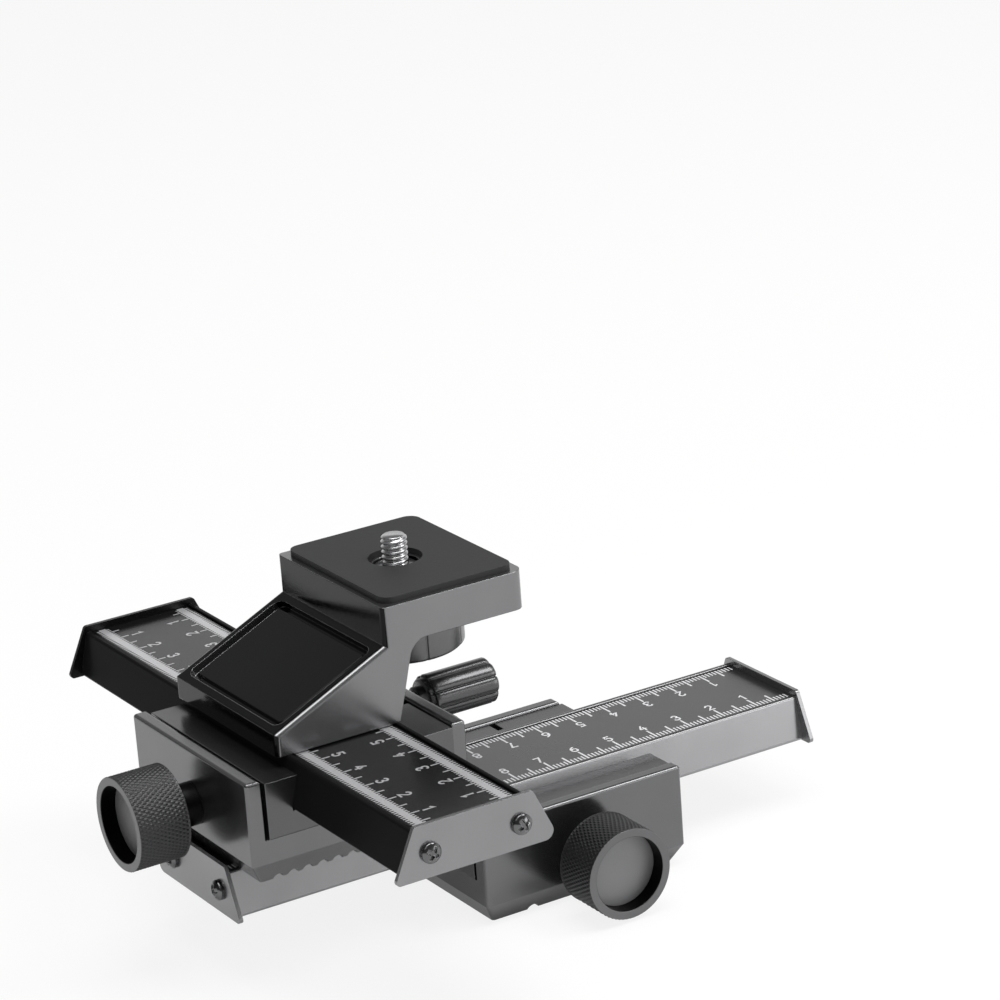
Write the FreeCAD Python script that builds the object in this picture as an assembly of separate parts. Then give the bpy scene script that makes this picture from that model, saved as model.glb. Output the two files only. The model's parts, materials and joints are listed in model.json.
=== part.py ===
"""Four-way macro focusing rail: two geared dovetail stages, one across the other,
with a camera bracket on top.

Each stage is built in its own frame: X runs along its rail, Y points from the
drive knob to the lock knob, Z is up from the carriage's underside. The lower
stage is then turned a quarter turn, so that its rail runs along the row's Y.
The row's origin is the mouth of the tripod socket under the lower carriage.
"""
import FreeCAD, Part
import math
import os

V = FreeCAD.Vector
X, Y, Z = V(1, 0, 0), V(0, 1, 0), V(0, 0, 1)

# ---------------------------------------------------------------- rail
RAIL_LENGTH = 160.0
RAIL_HEIGHT = 11.0
RAIL_TOP_WIDTH = 30.0
RAIL_FOOT_WIDTH = 35.2
RAIL_EDGE_ROUND = 0.7
LIP_INNER_ROUND = 0.3
LIP_WIDTH = 1.35            # raised edge beside the scale
SCALE_BED_DEPTH = 1.2       # recess between the two lips
SCALE_THICKNESS = 0.8
SCALE_SIDE_GAP = 0.45
LOWER_SHIFT = -7.6          # where each rail stands in its carriage, from centred
UPPER_SHIFT = -1.1

# ---------------------------------------------------------------- end plates
PLATE_THICKNESS = 1.0
PLATE_RISE = 1.5            # above the rail's top
PLATE_TOP_WIDTH = 30.4
PLATE_FOOT_WIDTH = 42.0
PLATE_FOOT_DROP = 0.15      # below the rail's underside
PLATE_TOP_ROUND = 1.0
PLATE_FOOT_ROUND = 2.2       # on the lock side
PLATE_FOOT_CORNER = 1.0      # on the drive side
PLATE_SCREW_SPAN = 23.2
PLATE_SCREW_DROP = 5.3      # below the rail's top
PLATE_SCREW_R = 1.25
PLATE_SCREW_LENGTH = 9.0
PAN_HEAD_R = 2.45
PAN_HEAD_HEIGHT = 1.9
PAN_DOME = 1.1

# ---------------------------------------------------------------- carriage
CARRIAGE_LENGTH = 56.4
CARRIAGE_WIDTH = 58.0
STAGE_HEIGHT = 27.5         # underside of the carriage to the top of its rail
RAIL_PROUD = 1.7            # rail's top above the walls
WALL = 3.7
CORNER_ROUND = 0.8
TOP_EDGE_ROUND = 0.8
FOOT_CHAMFER_OUT = 3.0
FOOT_CHAMFER_UP = 5.3
GRIP_GROOVE_COUNT = 12
GRIP_GROOVE_PITCH = 3.9
GRIP_GROOVE_R = 1.3
GRIP_GROOVE_DEPTH = 1.2
CROSS_GROOVE_X = -14.0
CROSS_GROOVE_R = 1.6
CROSS_GROOVE_DEPTH = 1.2

# ---------------------------------------------------------------- gibs
DRIVE_SLIT = 1.2            # open gap between wall and gib
LOCK_SLIT = 0.3
DRIVE_GIB_DROP = 1.05       # gib's top below the wall's top
LOCK_GIB_DROP = 0.65
GIB_TOE_GAP = 20.0          # between the two gibs, under the rail
GIB_TOE_THICKNESS = 5.4
LOCK_GIB_OVERHANG = 0.6
SLIDE_CLEARANCE = 0.03
GIB_SLOT_X = 7.95
GIB_SLOT_WIDTH = 1.7
GIB_SLOT_REACH = 4.4
GIB_SLOT_DEPTH = 1.5
GIB_SCREW_X = 18.0
GIB_SCREW_Y = 15.0
GIB_SCREW_R = 1.5
GIB_SCREW_BITE = 4.2
GIB_SCREW_HEAD_R = 2.75
GIB_SCREW_HEAD_HEIGHT = 3.0
GIB_SCREW_SINK = 0.4

# ---------------------------------------------------------------- rack and pinion
MODULE = 0.6
PINION_TEETH = 14
PRESSURE_ANGLE = 20.0
PINION_WIDTH = 7.0
RACK_WIDTH = 8.0
RACK_BACK = 2.3             # solid bar behind the tooth roots
RACK_SIDE_GAP = 0.05
RACK_RUN_OUT = 6.0          # rack beyond the last tooth that works, each end
RACK_ADDENDUM = 0.8         # of the module, stubbed so the small pinion runs clean
DEDENDUM = 1.25             # of the module
BACKLASH = 0.10             # taken off each tooth
RACK_SCREW_R = 1.25
RACK_SCREW_HEAD_R = 2.3
RACK_SCREW_HEAD_HEIGHT = 1.5
RACK_SCREW_SPACING = 44.0
RACK_SCREW_BITE = 1.7

# ---------------------------------------------------------------- drive spindle and knob
SPINDLE_R = 2.5
SPINDLE_JOURNAL_R = 2.0
RUNNING_CLEARANCE = 0.05
SPINDLE_RELIEF = 0.7        # round the spindle where it passes floor and gib
BUSH_SPIGOT_R = 4.0
BUSH_COLLAR_R = 5.2
BUSH_COLLAR_LENGTH = 6.0
BUSH_FIT = 0.01
INNER_BUSH_LENGTH = 4.0
INNER_BUSH_WIDTH = 8.0
INNER_BUSH_BELOW = 3.9      # below the spindle's axis
INNER_BUSH_ABOVE = 3.4
INNER_BUSH_GAP = 1.6        # between pinion and inner bush
KNOB_GAP = 0.3
KNOB_R = 11.35
KNOB_LENGTH = 12.9
KNOB_EDGE = 0.5
KNOB_RECESS_R = 9.2
KNOB_RECESS_DEPTH = 3.8     # down to the face of the disc
KNOB_DISC_THICKNESS = 1.0
KNOB_DISC_FIT = 0.05
SET_SCREW_R = 1.5
SET_SCREW_FROM_BACK = 3.6
SET_SCREW_LENGTH = 4.0

# ---------------------------------------------------------------- lock
LOCK_DROP = 6.3             # axis below the rail's top
LOCK_THREAD_R = 2.4
LOCK_HOLE_R = 2.5
LOCK_PAD_R = 2.3
LOCK_PAD_LENGTH = 2.6
LOCK_PAD_GAP = 0.8          # to the gib, lock open
LOCK_SCREW_GAP = 0.05
LOCK_HUB_R = 3.4
LOCK_HUB_GAP = 2.6          # wall to hub
LOCK_HUB_LENGTH = 3.1
LOCK_KNOB_R = 5.7
LOCK_KNOB_LENGTH = 17.5
LOCK_FLUTES = 8
LOCK_FLUTE_R = 0.8
LOCK_FLUTE_DEPTH = 0.6
LOCK_EDGE = 0.5
LOCK_SCREW_BITE = 9.0

# ---------------------------------------------------------------- tripod socket, stage screws
TRIPOD_THREAD_R = 3.175
TRIPOD_INSERT_R = 7.0
TRIPOD_INSERT_HEIGHT = 6.0
STAGE_SCREW_X = 9.5
STAGE_SCREW_Y = 7.5
STAGE_SCREW_R = 2.0
STAGE_SCREW_HEAD_R = 3.5
STAGE_SCREW_HEAD_HEIGHT = 4.0
STAGE_SCREW_SINK = 0.2
STAGE_SCREW_BITE = 6.0
SCREW_HOLE_GAP = 0.1

# ---------------------------------------------------------------- camera bracket
BRACKET_WIDTH = 49.7
BRACKET_SHIFT = -1.0        # along the rail, from its middle
BRACKET_BACK = 17.5         # rail's axis to the panel's foot
BRACKET_PANEL_FOOT = 5.4    # height of the lip under the panel
BRACKET_PANEL_HEAD_Y = 12.5
BRACKET_PANEL_HEAD_Z = 19.2
BRACKET_TOP = 28.5
BRACKET_FOOT_FRONT = 15.0
BRACKET_NECK_Y = 18.8       # where the column meets the hollow under the plate
BRACKET_NECK_Z = 14.7
BRACKET_THROAT_Z = 19.0     # underside of the plate
BRACKET_THROAT_R = 5.6
BRACKET_PLATE_FRONT = 50.9
BRACKET_EDGE = 1.25
BRACKET_SIDE_ROUND = 3.0
PANEL_SIDE_MARGIN = 2.7
PANEL_END_MARGIN = 2.1
PANEL_POCKET_DEPTH = 1.9
PANEL_POCKET_CORNER = 2.5
PANEL_GAP = 1.8             # open all round between the panel and its pocket
PANEL_THICKNESS = 1.05
PANEL_CORNER = 0.8
PANEL_EDGE = 0.25
BRACKET_SCREW_X = 15.0
BRACKET_SCREW_Y = 9.0
BRACKET_SCREW_R = 2.0
BRACKET_SCREW_HEAD_R = 3.4
BRACKET_SCREW_HEAD_HEIGHT = 2.6
BRACKET_SCREW_SINK = 0.3
BRACKET_SCREW_BITE = 6.0

# ---------------------------------------------------------------- camera screw and pad
CAMERA_SCREW_Y = 30.7
CAMERA_THREAD_R = 3.175
CAMERA_THREAD_HEIGHT = 5.5  # above the pad
CAMERA_TIP_CHAMFER = 0.5
CAMERA_SHANK_R = 2.8
CAMERA_SHANK_CLEARANCE = 0.1
WHEEL_R = 15.0
WHEEL_BOTTOM = 8.3
WHEEL_PLATE_GAP = 0.4
WHEEL_EDGE = 0.6
WHEEL_POCKET_GAP = 0.6
WHEEL_NOTCHES = 8
WHEEL_NOTCH_R = 0.4
WHEEL_TURN = -6.0           # degrees, where its first notch stands
CLIP_R = 5.0
CLIP_THICKNESS = 0.8
CLIP_RECESS_R = 5.6
CLIP_RECESS_DEPTH = 1.6
CLIP_LIFT = 0.3
PAD_THICKNESS = 1.5
PAD_INSET = 1.6
PAD_CORNER = 3.0
PAD_HOLE_R = 6.5

# ---------------------------------------------------------------- worked out
HALF_RAIL = RAIL_LENGTH / 2
RAIL_UNDERSIDE = STAGE_HEIGHT - RAIL_HEIGHT
CARRIAGE_HEIGHT = STAGE_HEIGHT - RAIL_PROUD
FLOOR_HEIGHT = RAIL_UNDERSIDE - GIB_TOE_THICKNESS
FLANK_RUN = (RAIL_FOOT_WIDTH - RAIL_TOP_WIDTH) / 2
DRIVE_GIB_OUTER = CARRIAGE_WIDTH / 2 - WALL - DRIVE_SLIT
LOCK_GIB_OUTER = CARRIAGE_WIDTH / 2 - WALL - LOCK_SLIT
PITCH_R = MODULE * PINION_TEETH / 2
TOOTH_PITCH = math.pi * MODULE
SPINDLE_Z = RAIL_UNDERSIDE - PITCH_R
LOCK_Z = STAGE_HEIGHT - LOCK_DROP
WALL_FACE = CARRIAGE_WIDTH / 2
WALL_INSIDE = WALL_FACE - WALL
INNER_BUSH_START = PINION_WIDTH / 2 + INNER_BUSH_GAP
KNOB_BACK = -(WALL_FACE + BUSH_COLLAR_LENGTH + KNOB_GAP)
KNOB_FRONT = KNOB_BACK - KNOB_LENGTH
UPPER_Y = LOWER_SHIFT - HALF_RAIL + WALL_FACE
RAIL_A_TOP = 2 * STAGE_HEIGHT


# ---------------------------------------------------------------- helpers
def block(x0, x1, y0, y1, z0, z1):
    return Part.makeBox(x1 - x0, y1 - y0, z1 - z0, V(x0, y0, z0))


def rod(radius, start, end):
    """Cylinder of a radius between two points."""
    start, end = V(*start), V(*end)
    run = end - start
    return Part.makeCylinder(radius, run.Length, start, run)


def prism_x(points, x0, x1):
    """Closed outline of (y, z) points, swept along X."""
    wire = Part.makePolygon([V(x0, y, z) for y, z in points + points[:1]])
    return Part.Face(wire).extrude(V(x1 - x0, 0, 0))


def rounded_rectangle(length, width, radius, z):
    """Rounded rectangle about the Z axis, as a closed wire at height z."""
    a, b = length / 2, width / 2
    r = radius
    edges = []
    for turn, (cx, cy) in enumerate([(a - r, b - r), (-a + r, b - r), (-a + r, -b + r), (a - r, -b + r)]):
        def at(angle, cx=cx, cy=cy):
            return V(cx + r * math.cos(angle), cy + r * math.sin(angle), z)
        begin = turn * math.pi / 2
        arc = Part.Arc(at(begin), at(begin + math.pi / 4), at(begin + math.pi / 2)).toShape()
        edges.append(arc)
    joined = []
    for i, arc in enumerate(edges):
        following = edges[(i + 1) % 4]
        joined.append(arc)
        joined.append(Part.makeLine(arc.lastVertex().Point, following.firstVertex().Point))
    return Part.Wire(joined)


def turned(outline, radius_axis=Z):
    """Solid of revolution about Z of (radius, height) points, then laid on an axis."""
    wire = Part.makePolygon([V(r, 0, h) for r, h in outline + outline[:1]])
    solid = Part.Face(wire).revolve(V(0, 0, 0), Z, 360)
    if radius_axis != Z:
        solid.rotate(V(0, 0, 0), Z.cross(radius_axis), math.degrees(Z.getAngle(radius_axis)))
    return solid


def fuse(shapes):
    return shapes[0].multiFuse(shapes[1:]).removeSplitter() if len(shapes) > 1 else shapes[0]


def cut(shape, tools):
    return shape.cut(Part.makeCompound(tools)) if tools else shape


def flank_y(z):
    """Half width of the rail's dovetail at height z."""
    return RAIL_TOP_WIDTH / 2 + FLANK_RUN * (STAGE_HEIGHT - z) / RAIL_HEIGHT


def signs():
    return [(a, b) for a in (-1, 1) for b in (-1, 1)]


def gib_screw_places():
    return [(a * GIB_SCREW_X, b * GIB_SCREW_Y) for a, b in signs()]


def cap_screw(head_r, head_height, shank_r, shank_length):
    """Cap screw with its head's top at the origin, shank down."""
    head = rod(head_r, (0, 0, -head_height), (0, 0, 0))
    shank = rod(shank_r, (0, 0, -head_height - shank_length), (0, 0, -head_height))
    return head.fuse(shank)


def pan_screw():
    """Pan head screw on the +X side of a plate face at x = 0, shank towards -X."""
    dome = (PAN_HEAD_R ** 2 + PAN_DOME ** 2) / (2 * PAN_DOME)
    ball = Part.makeSphere(dome, V(PAN_HEAD_HEIGHT - dome, 0, 0))
    head = rod(PAN_HEAD_R, (0, 0, 0), (PAN_HEAD_HEIGHT + 1, 0, 0)).common(ball)
    return head.fuse(rod(PLATE_SCREW_R, (-PLATE_SCREW_LENGTH, 0, 0), (0, 0, 0)))


# ---------------------------------------------------------------- carriage and gibs
def carriage(is_upper):
    """Cast block: chamfered foot, two upright walls, floor cut out for the gearing."""
    foot_length = CARRIAGE_LENGTH - 2 * FOOT_CHAMFER_OUT
    foot_width = CARRIAGE_WIDTH - 2 * FOOT_CHAMFER_OUT
    low = rounded_rectangle(foot_length, foot_width, CORNER_ROUND, 0)
    waist = rounded_rectangle(CARRIAGE_LENGTH, CARRIAGE_WIDTH, CORNER_ROUND, FOOT_CHAMFER_UP)
    foot = Part.makeLoft([low, waist], True, True)
    upper_part = Part.Face(waist).extrude(V(0, 0, CARRIAGE_HEIGHT - FOOT_CHAMFER_UP))
    body = fuse([foot, upper_part])

    reach = CARRIAGE_LENGTH
    channel = block(-reach, reach, -WALL_INSIDE, WALL_INSIDE, FLOOR_HEIGHT, 2 * CARRIAGE_HEIGHT)
    corners = [e for e in channel.Edges
               if abs(e.BoundBox.ZMax - FLOOR_HEIGHT) < 1e-6 and e.BoundBox.XLength > reach]
    body = body.cut(channel.makeFillet(LOCK_SLIT, corners))
    crown = [e for e in body.Edges if e.BoundBox.ZMin > CARRIAGE_HEIGHT - 1e-6]
    body = body.makeFillet(TOP_EDGE_ROUND, crown)

    pinion_tip = PITCH_R + MODULE + SPINDLE_RELIEF
    passage = SPINDLE_R + SPINDLE_RELIEF
    shaft_end = INNER_BUSH_START + INNER_BUSH_LENGTH
    tools = [
        block(-pinion_tip, pinion_tip, -INNER_BUSH_START, INNER_BUSH_START,
              SPINDLE_Z - pinion_tip, FLOOR_HEIGHT + 1),
        rod(passage, (0, -WALL_INSIDE, SPINDLE_Z), (0, shaft_end, SPINDLE_Z)),
        block(-INNER_BUSH_WIDTH / 2 - BUSH_FIT, INNER_BUSH_WIDTH / 2 + BUSH_FIT,
              INNER_BUSH_START - BUSH_FIT, shaft_end + BUSH_FIT,
              SPINDLE_Z - INNER_BUSH_BELOW, FLOOR_HEIGHT + 1),
        rod(BUSH_SPIGOT_R + BUSH_FIT, (0, -WALL_FACE - 1, SPINDLE_Z), (0, -WALL_INSIDE + 1, SPINDLE_Z)),
        rod(LOCK_HOLE_R, (0, WALL_INSIDE - 1, LOCK_Z), (0, WALL_FACE + 1, LOCK_Z)),
    ]
    for x, y in gib_screw_places():
        tools.append(rod(GIB_SCREW_R + SCREW_HOLE_GAP, (x, y, -1), (x, y, FLOOR_HEIGHT + 1)))
        tools.append(rod(GIB_SCREW_HEAD_R + SCREW_HOLE_GAP, (x, y, -1),
                         (x, y, GIB_SCREW_HEAD_HEIGHT + GIB_SCREW_SINK)))
    if is_upper:
        seat = FLOOR_HEIGHT - STAGE_SCREW_SINK - STAGE_SCREW_HEAD_HEIGHT
        for a, b in signs():
            x, y = a * STAGE_SCREW_X, b * STAGE_SCREW_Y
            tools.append(rod(STAGE_SCREW_R + SCREW_HOLE_GAP, (x, y, -1), (x, y, FLOOR_HEIGHT + 1)))
            tools.append(rod(STAGE_SCREW_HEAD_R + SCREW_HOLE_GAP, (x, y, seat), (x, y, FLOOR_HEIGHT + 1)))
    else:
        tools.append(rod(TRIPOD_INSERT_R + BUSH_FIT, (0, 0, -1), (0, 0, TRIPOD_INSERT_HEIGHT)))
    return cut(cut(body, tools), underside_grooves())


def underside_grooves():
    """Anti-slip grooves from the +X end up to one groove that runs across."""
    lift = GRIP_GROOVE_DEPTH - GRIP_GROOVE_R
    middle = (GRIP_GROOVE_COUNT - 1) / 2
    tools = []
    for i in range(GRIP_GROOVE_COUNT):
        y = (i - middle) * GRIP_GROOVE_PITCH
        tools.append(rod(GRIP_GROOVE_R, (CROSS_GROOVE_X, y, lift), (CARRIAGE_LENGTH, y, lift)))
    cross_lift = CROSS_GROOVE_DEPTH - CROSS_GROOVE_R
    tools.append(rod(CROSS_GROOVE_R, (CROSS_GROOVE_X, -CARRIAGE_WIDTH, cross_lift),
                     (CROSS_GROOVE_X, CARRIAGE_WIDTH, cross_lift)))
    return tools


def gib(side):
    """L-shaped dovetail bar: hugs the rail's flank, and its toe carries the rail."""
    slope = math.hypot(FLANK_RUN, RAIL_HEIGHT) / RAIL_HEIGHT
    ease = SLIDE_CLEARANCE * slope
    top_of_toe = RAIL_UNDERSIDE - SLIDE_CLEARANCE
    is_lock = side > 0
    outer = LOCK_GIB_OUTER if is_lock else DRIVE_GIB_OUTER
    top = CARRIAGE_HEIGHT - (LOCK_GIB_DROP if is_lock else DRIVE_GIB_DROP)
    overhang = LOCK_GIB_OVERHANG if is_lock else 0.0
    outline = [(GIB_TOE_GAP / 2, FLOOR_HEIGHT), (outer, FLOOR_HEIGHT), (outer, top),
               (flank_y(top) + ease, top), (flank_y(top_of_toe) + ease, top_of_toe),
               (GIB_TOE_GAP / 2, top_of_toe)]
    points = [(side * y, z) for y, z in outline]
    bar = prism_x(points, -CARRIAGE_LENGTH / 2, CARRIAGE_LENGTH / 2 + overhang)
    tools = [rod(GIB_SCREW_R, (x, y, FLOOR_HEIGHT - 1), (x, y, FLOOR_HEIGHT + GIB_SCREW_BITE))
             for x, y in gib_screw_places() if y * side > 0]
    if is_lock:
        tools.append(block(GIB_SLOT_X - GIB_SLOT_WIDTH / 2, GIB_SLOT_X + GIB_SLOT_WIDTH / 2,
                           outer - GIB_SLOT_REACH, outer + 1, top - GIB_SLOT_DEPTH, top + 1))
    else:
        tools.append(rod(SPINDLE_R + SPINDLE_RELIEF, (0, -WALL_FACE, SPINDLE_Z), (0, 0, SPINDLE_Z)))
    return cut(bar, tools)


def gib_screws():
    screws = []
    for x, y in gib_screw_places():
        shank = FLOOR_HEIGHT + GIB_SCREW_BITE - GIB_SCREW_SINK - GIB_SCREW_HEAD_HEIGHT - 0.2
        screw = cap_screw(GIB_SCREW_HEAD_R, GIB_SCREW_HEAD_HEIGHT, GIB_SCREW_R, shank)
        screw.rotate(V(0, 0, 0), X, 180)
        screw.translate(V(x, y, GIB_SCREW_SINK))
        screws.append(screw)
    return Part.makeCompound(screws)


# ---------------------------------------------------------------- rail
def rack_screw_places():
    return [k * RACK_SCREW_SPACING for k in (-1, 0, 1)]


def rail():
    """Dovetail bar: scale bed between two lips on top, rack groove underneath."""
    top, foot = RAIL_TOP_WIDTH / 2, RAIL_FOOT_WIDTH / 2
    bed, bed_z = top - LIP_WIDTH, STAGE_HEIGHT - SCALE_BED_DEPTH
    groove, groove_z = RACK_WIDTH / 2 + RACK_SIDE_GAP, rack_top()
    half = [(groove, groove_z), (groove, RAIL_UNDERSIDE), (foot, RAIL_UNDERSIDE),
            (top, STAGE_HEIGHT), (bed, STAGE_HEIGHT), (bed, bed_z)]
    outline = half + [(-y, z) for y, z in reversed(half)]
    bar = prism_x(outline, -HALF_RAIL, HALF_RAIL)
    sharp = [e for e in bar.Edges if e.BoundBox.XLength > HALF_RAIL
             and (abs(abs(e.CenterOfMass.y) - foot) < 1e-3 or abs(abs(e.CenterOfMass.y) - top) < 1e-3)]
    bar = bar.makeFillet(RAIL_EDGE_ROUND, sharp)
    inner = [e for e in bar.Edges if e.BoundBox.XLength > HALF_RAIL
             and abs(abs(e.CenterOfMass.y) - bed) < 1e-3 and e.CenterOfMass.z > bed_z + 1e-3]
    bar = bar.makeFillet(LIP_INNER_ROUND, inner)
    z = STAGE_HEIGHT - PLATE_SCREW_DROP
    tools = []
    for end, side in signs():
        y = side * PLATE_SCREW_SPAN / 2
        tools.append(rod(PLATE_SCREW_R, (end * (HALF_RAIL + 1), y, z),
                         (end * (HALF_RAIL - PLATE_SCREW_LENGTH), y, z)))
    for x in rack_screw_places():
        tools.append(rod(RACK_SCREW_R + SCREW_HOLE_GAP, (x, 0, groove_z - 1), (x, 0, bed_z + 1)))
        tools.append(rod(RACK_SCREW_HEAD_R + SCREW_HOLE_GAP,
                         (x, 0, bed_z - RACK_SCREW_HEAD_HEIGHT - SCREW_HOLE_GAP), (x, 0, bed_z + 1)))
    return cut(bar, tools)


def rack_top():
    return RAIL_UNDERSIDE + DEDENDUM * MODULE + RACK_BACK


def rack(shift):
    """Straight-flanked rack whose gap stands over the pinion's top tooth at rest."""
    reach = HALF_RAIL - CARRIAGE_LENGTH / 2 + RACK_RUN_OUT
    tip_z = RAIL_UNDERSIDE - RACK_ADDENDUM * MODULE
    root_z = RAIL_UNDERSIDE + DEDENDUM * MODULE
    lean = math.tan(math.radians(PRESSURE_ANGLE))
    half_thick = TOOTH_PITCH / 4 - BACKLASH / 2
    at_tip = half_thick - RACK_ADDENDUM * MODULE * lean
    at_root = half_thick + DEDENDUM * MODULE * lean
    phase = (-shift + TOOTH_PITCH / 2) % TOOTH_PITCH
    count = int(reach / TOOTH_PITCH)
    first, last = -count * TOOTH_PITCH + phase, count * TOOTH_PITCH + phase
    x0, x1 = first - TOOTH_PITCH / 2, last + TOOTH_PITCH / 2
    points = [(x0, rack_top()), (x0, root_z)]
    for k in range(2 * count + 1):
        middle = first + k * TOOTH_PITCH
        points += [(middle - at_root, root_z), (middle - at_tip, tip_z),
                   (middle + at_tip, tip_z), (middle + at_root, root_z)]
    points += [(x1, root_z), (x1, rack_top())]
    wire = Part.makePolygon([V(x, -RACK_WIDTH / 2, z) for x, z in points + points[:1]])
    bar = Part.Face(wire).extrude(V(0, RACK_WIDTH, 0))
    bite = rack_top() - RACK_SCREW_BITE
    return cut(bar, [rod(RACK_SCREW_R, (x, 0, bite), (x, 0, rack_top() + 1))
                     for x in rack_screw_places()])


def rack_screws():
    bed_z = STAGE_HEIGHT - SCALE_BED_DEPTH
    shank = bed_z - SCREW_HOLE_GAP - RACK_SCREW_HEAD_HEIGHT - (rack_top() - RACK_SCREW_BITE)
    screws = []
    for x in rack_screw_places():
        screw = cap_screw(RACK_SCREW_HEAD_R, RACK_SCREW_HEAD_HEIGHT, RACK_SCREW_R, shank)
        screw.translate(V(x, 0, bed_z - SCREW_HOLE_GAP))
        screws.append(screw)
    return Part.makeCompound(screws)


def scale_plate():
    half = RAIL_TOP_WIDTH / 2 - LIP_WIDTH - SCALE_SIDE_GAP
    base = STAGE_HEIGHT - SCALE_BED_DEPTH
    return block(-HALF_RAIL, HALF_RAIL, -half, half, base, base + SCALE_THICKNESS)


def end_plate(end):
    """Stop plate: a trapezium proud of the rail all round, rounder at the foot's lock side."""
    top_z = STAGE_HEIGHT + PLATE_RISE
    foot_z = RAIL_UNDERSIDE - PLATE_FOOT_DROP
    top, foot = PLATE_TOP_WIDTH / 2, PLATE_FOOT_WIDTH / 2
    x0 = HALF_RAIL if end > 0 else -HALF_RAIL - PLATE_THICKNESS
    outline = [(-foot, foot_z), (foot, foot_z), (top, top_z), (-top, top_z)]
    plate = prism_x(outline, x0, x0 + PLATE_THICKNESS)
    across = [e for e in plate.Edges if abs(e.BoundBox.XLength - PLATE_THICKNESS) < 1e-6]
    middle = (top_z + foot_z) / 2
    plate = plate.makeFillet(PLATE_TOP_ROUND, [e for e in across if e.CenterOfMass.z > middle])
    for side, radius in ((-1, PLATE_FOOT_CORNER), (1, PLATE_FOOT_ROUND)):
        across = [e for e in plate.Edges if abs(e.BoundBox.XLength - PLATE_THICKNESS) < 1e-6
                  and abs(e.CenterOfMass.y - side * foot) < 1e-6 and abs(e.CenterOfMass.z - foot_z) < 1e-6]
        plate = plate.makeFillet(radius, across)
    z = STAGE_HEIGHT - PLATE_SCREW_DROP
    holes = [rod(PLATE_SCREW_R + SCREW_HOLE_GAP, (x0 - 1, side * PLATE_SCREW_SPAN / 2, z),
                 (x0 + PLATE_THICKNESS + 1, side * PLATE_SCREW_SPAN / 2, z)) for side in (-1, 1)]
    return cut(plate, holes)


def end_plate_screws():
    z = STAGE_HEIGHT - PLATE_SCREW_DROP
    screws = []
    for end, side in signs():
        screw = pan_screw()
        if end < 0:
            screw.rotate(V(0, 0, 0), Z, 180)
        screw.translate(V(end * (HALF_RAIL + PLATE_THICKNESS), side * PLATE_SCREW_SPAN / 2, z))
        screws.append(screw)
    return Part.makeCompound(screws)


# ---------------------------------------------------------------- drive
def pinion():
    """Involute pinion on the spindle, one tooth straight up."""
    base = PITCH_R * math.cos(math.radians(PRESSURE_ANGLE))
    tip, root = PITCH_R + MODULE, PITCH_R - DEDENDUM * MODULE

    def polar(radius, angle):
        return V(radius * math.sin(angle), PINION_WIDTH / 2, radius * math.cos(angle))

    def involute(radius):
        a = math.acos(base / radius)
        return math.tan(a) - a

    half_at_pitch = (TOOTH_PITCH / 2 - BACKLASH) / (2 * PITCH_R)

    def half_angle(radius):
        return half_at_pitch + involute(PITCH_R) - involute(max(radius, base))

    edges = []
    step = 2 * math.pi / PINION_TEETH
    for k in range(PINION_TEETH):
        centre = k * step
        middle_r = (base + tip) / 2
        left = [polar(r, centre - half_angle(r)) for r in (base, middle_r, tip)]
        right = [polar(r, centre + half_angle(r)) for r in (tip, middle_r, base)]
        foot_left = polar(root, centre - half_angle(base))
        foot_right = polar(root, centre + half_angle(base))
        next_foot = polar(root, centre + step - half_angle(base))
        edges += [Part.makeLine(foot_left, left[0]),
                  Part.Arc(*left).toShape(),
                  Part.makeLine(left[2], right[0]),
                  Part.Arc(*right).toShape(),
                  Part.makeLine(right[2], foot_right),
                  Part.makeLine(foot_right, next_foot)]
    gear = Part.Face(Part.Wire(edges)).extrude(V(0, -PINION_WIDTH, 0))
    gear = gear.cut(rod(SPINDLE_R, (0, -PINION_WIDTH, 0), (0, PINION_WIDTH, 0)))
    gear.translate(V(0, 0, SPINDLE_Z))
    return gear


def spindle():
    """Drive shaft: through knob, wall bush and pinion, stepped down to its inner journal."""
    shoulder = INNER_BUSH_START - KNOB_GAP
    outer = KNOB_FRONT + KNOB_RECESS_DEPTH + KNOB_DISC_THICKNESS
    inner = INNER_BUSH_START + INNER_BUSH_LENGTH
    thick = rod(SPINDLE_R, (0, outer, SPINDLE_Z), (0, shoulder, SPINDLE_Z))
    thin = rod(SPINDLE_JOURNAL_R, (0, shoulder, SPINDLE_Z), (0, inner, SPINDLE_Z))
    return thick.fuse(thin)


def wall_bush():
    """Flanged bush pressed into the drive wall; its collar stands out behind the knob."""
    collar = rod(BUSH_COLLAR_R, (0, -WALL_FACE - BUSH_COLLAR_LENGTH, SPINDLE_Z), (0, -WALL_FACE, SPINDLE_Z))
    spigot = rod(BUSH_SPIGOT_R, (0, -WALL_FACE, SPINDLE_Z), (0, -WALL_INSIDE, SPINDLE_Z))
    bore = rod(SPINDLE_R + RUNNING_CLEARANCE, (0, -2 * WALL_FACE, SPINDLE_Z), (0, 0, SPINDLE_Z))
    return fuse([collar, spigot]).cut(bore)


def inner_bush():
    """Bronze block let into the floor behind the pinion."""
    start, end = INNER_BUSH_START, INNER_BUSH_START + INNER_BUSH_LENGTH
    bearing = block(-INNER_BUSH_WIDTH / 2, INNER_BUSH_WIDTH / 2, start, end,
                    SPINDLE_Z - INNER_BUSH_BELOW, SPINDLE_Z + INNER_BUSH_ABOVE)
    bore = rod(SPINDLE_JOURNAL_R + RUNNING_CLEARANCE, (0, start - 1, SPINDLE_Z), (0, end + 1, SPINDLE_Z))
    return bearing.cut(bore)


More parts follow.
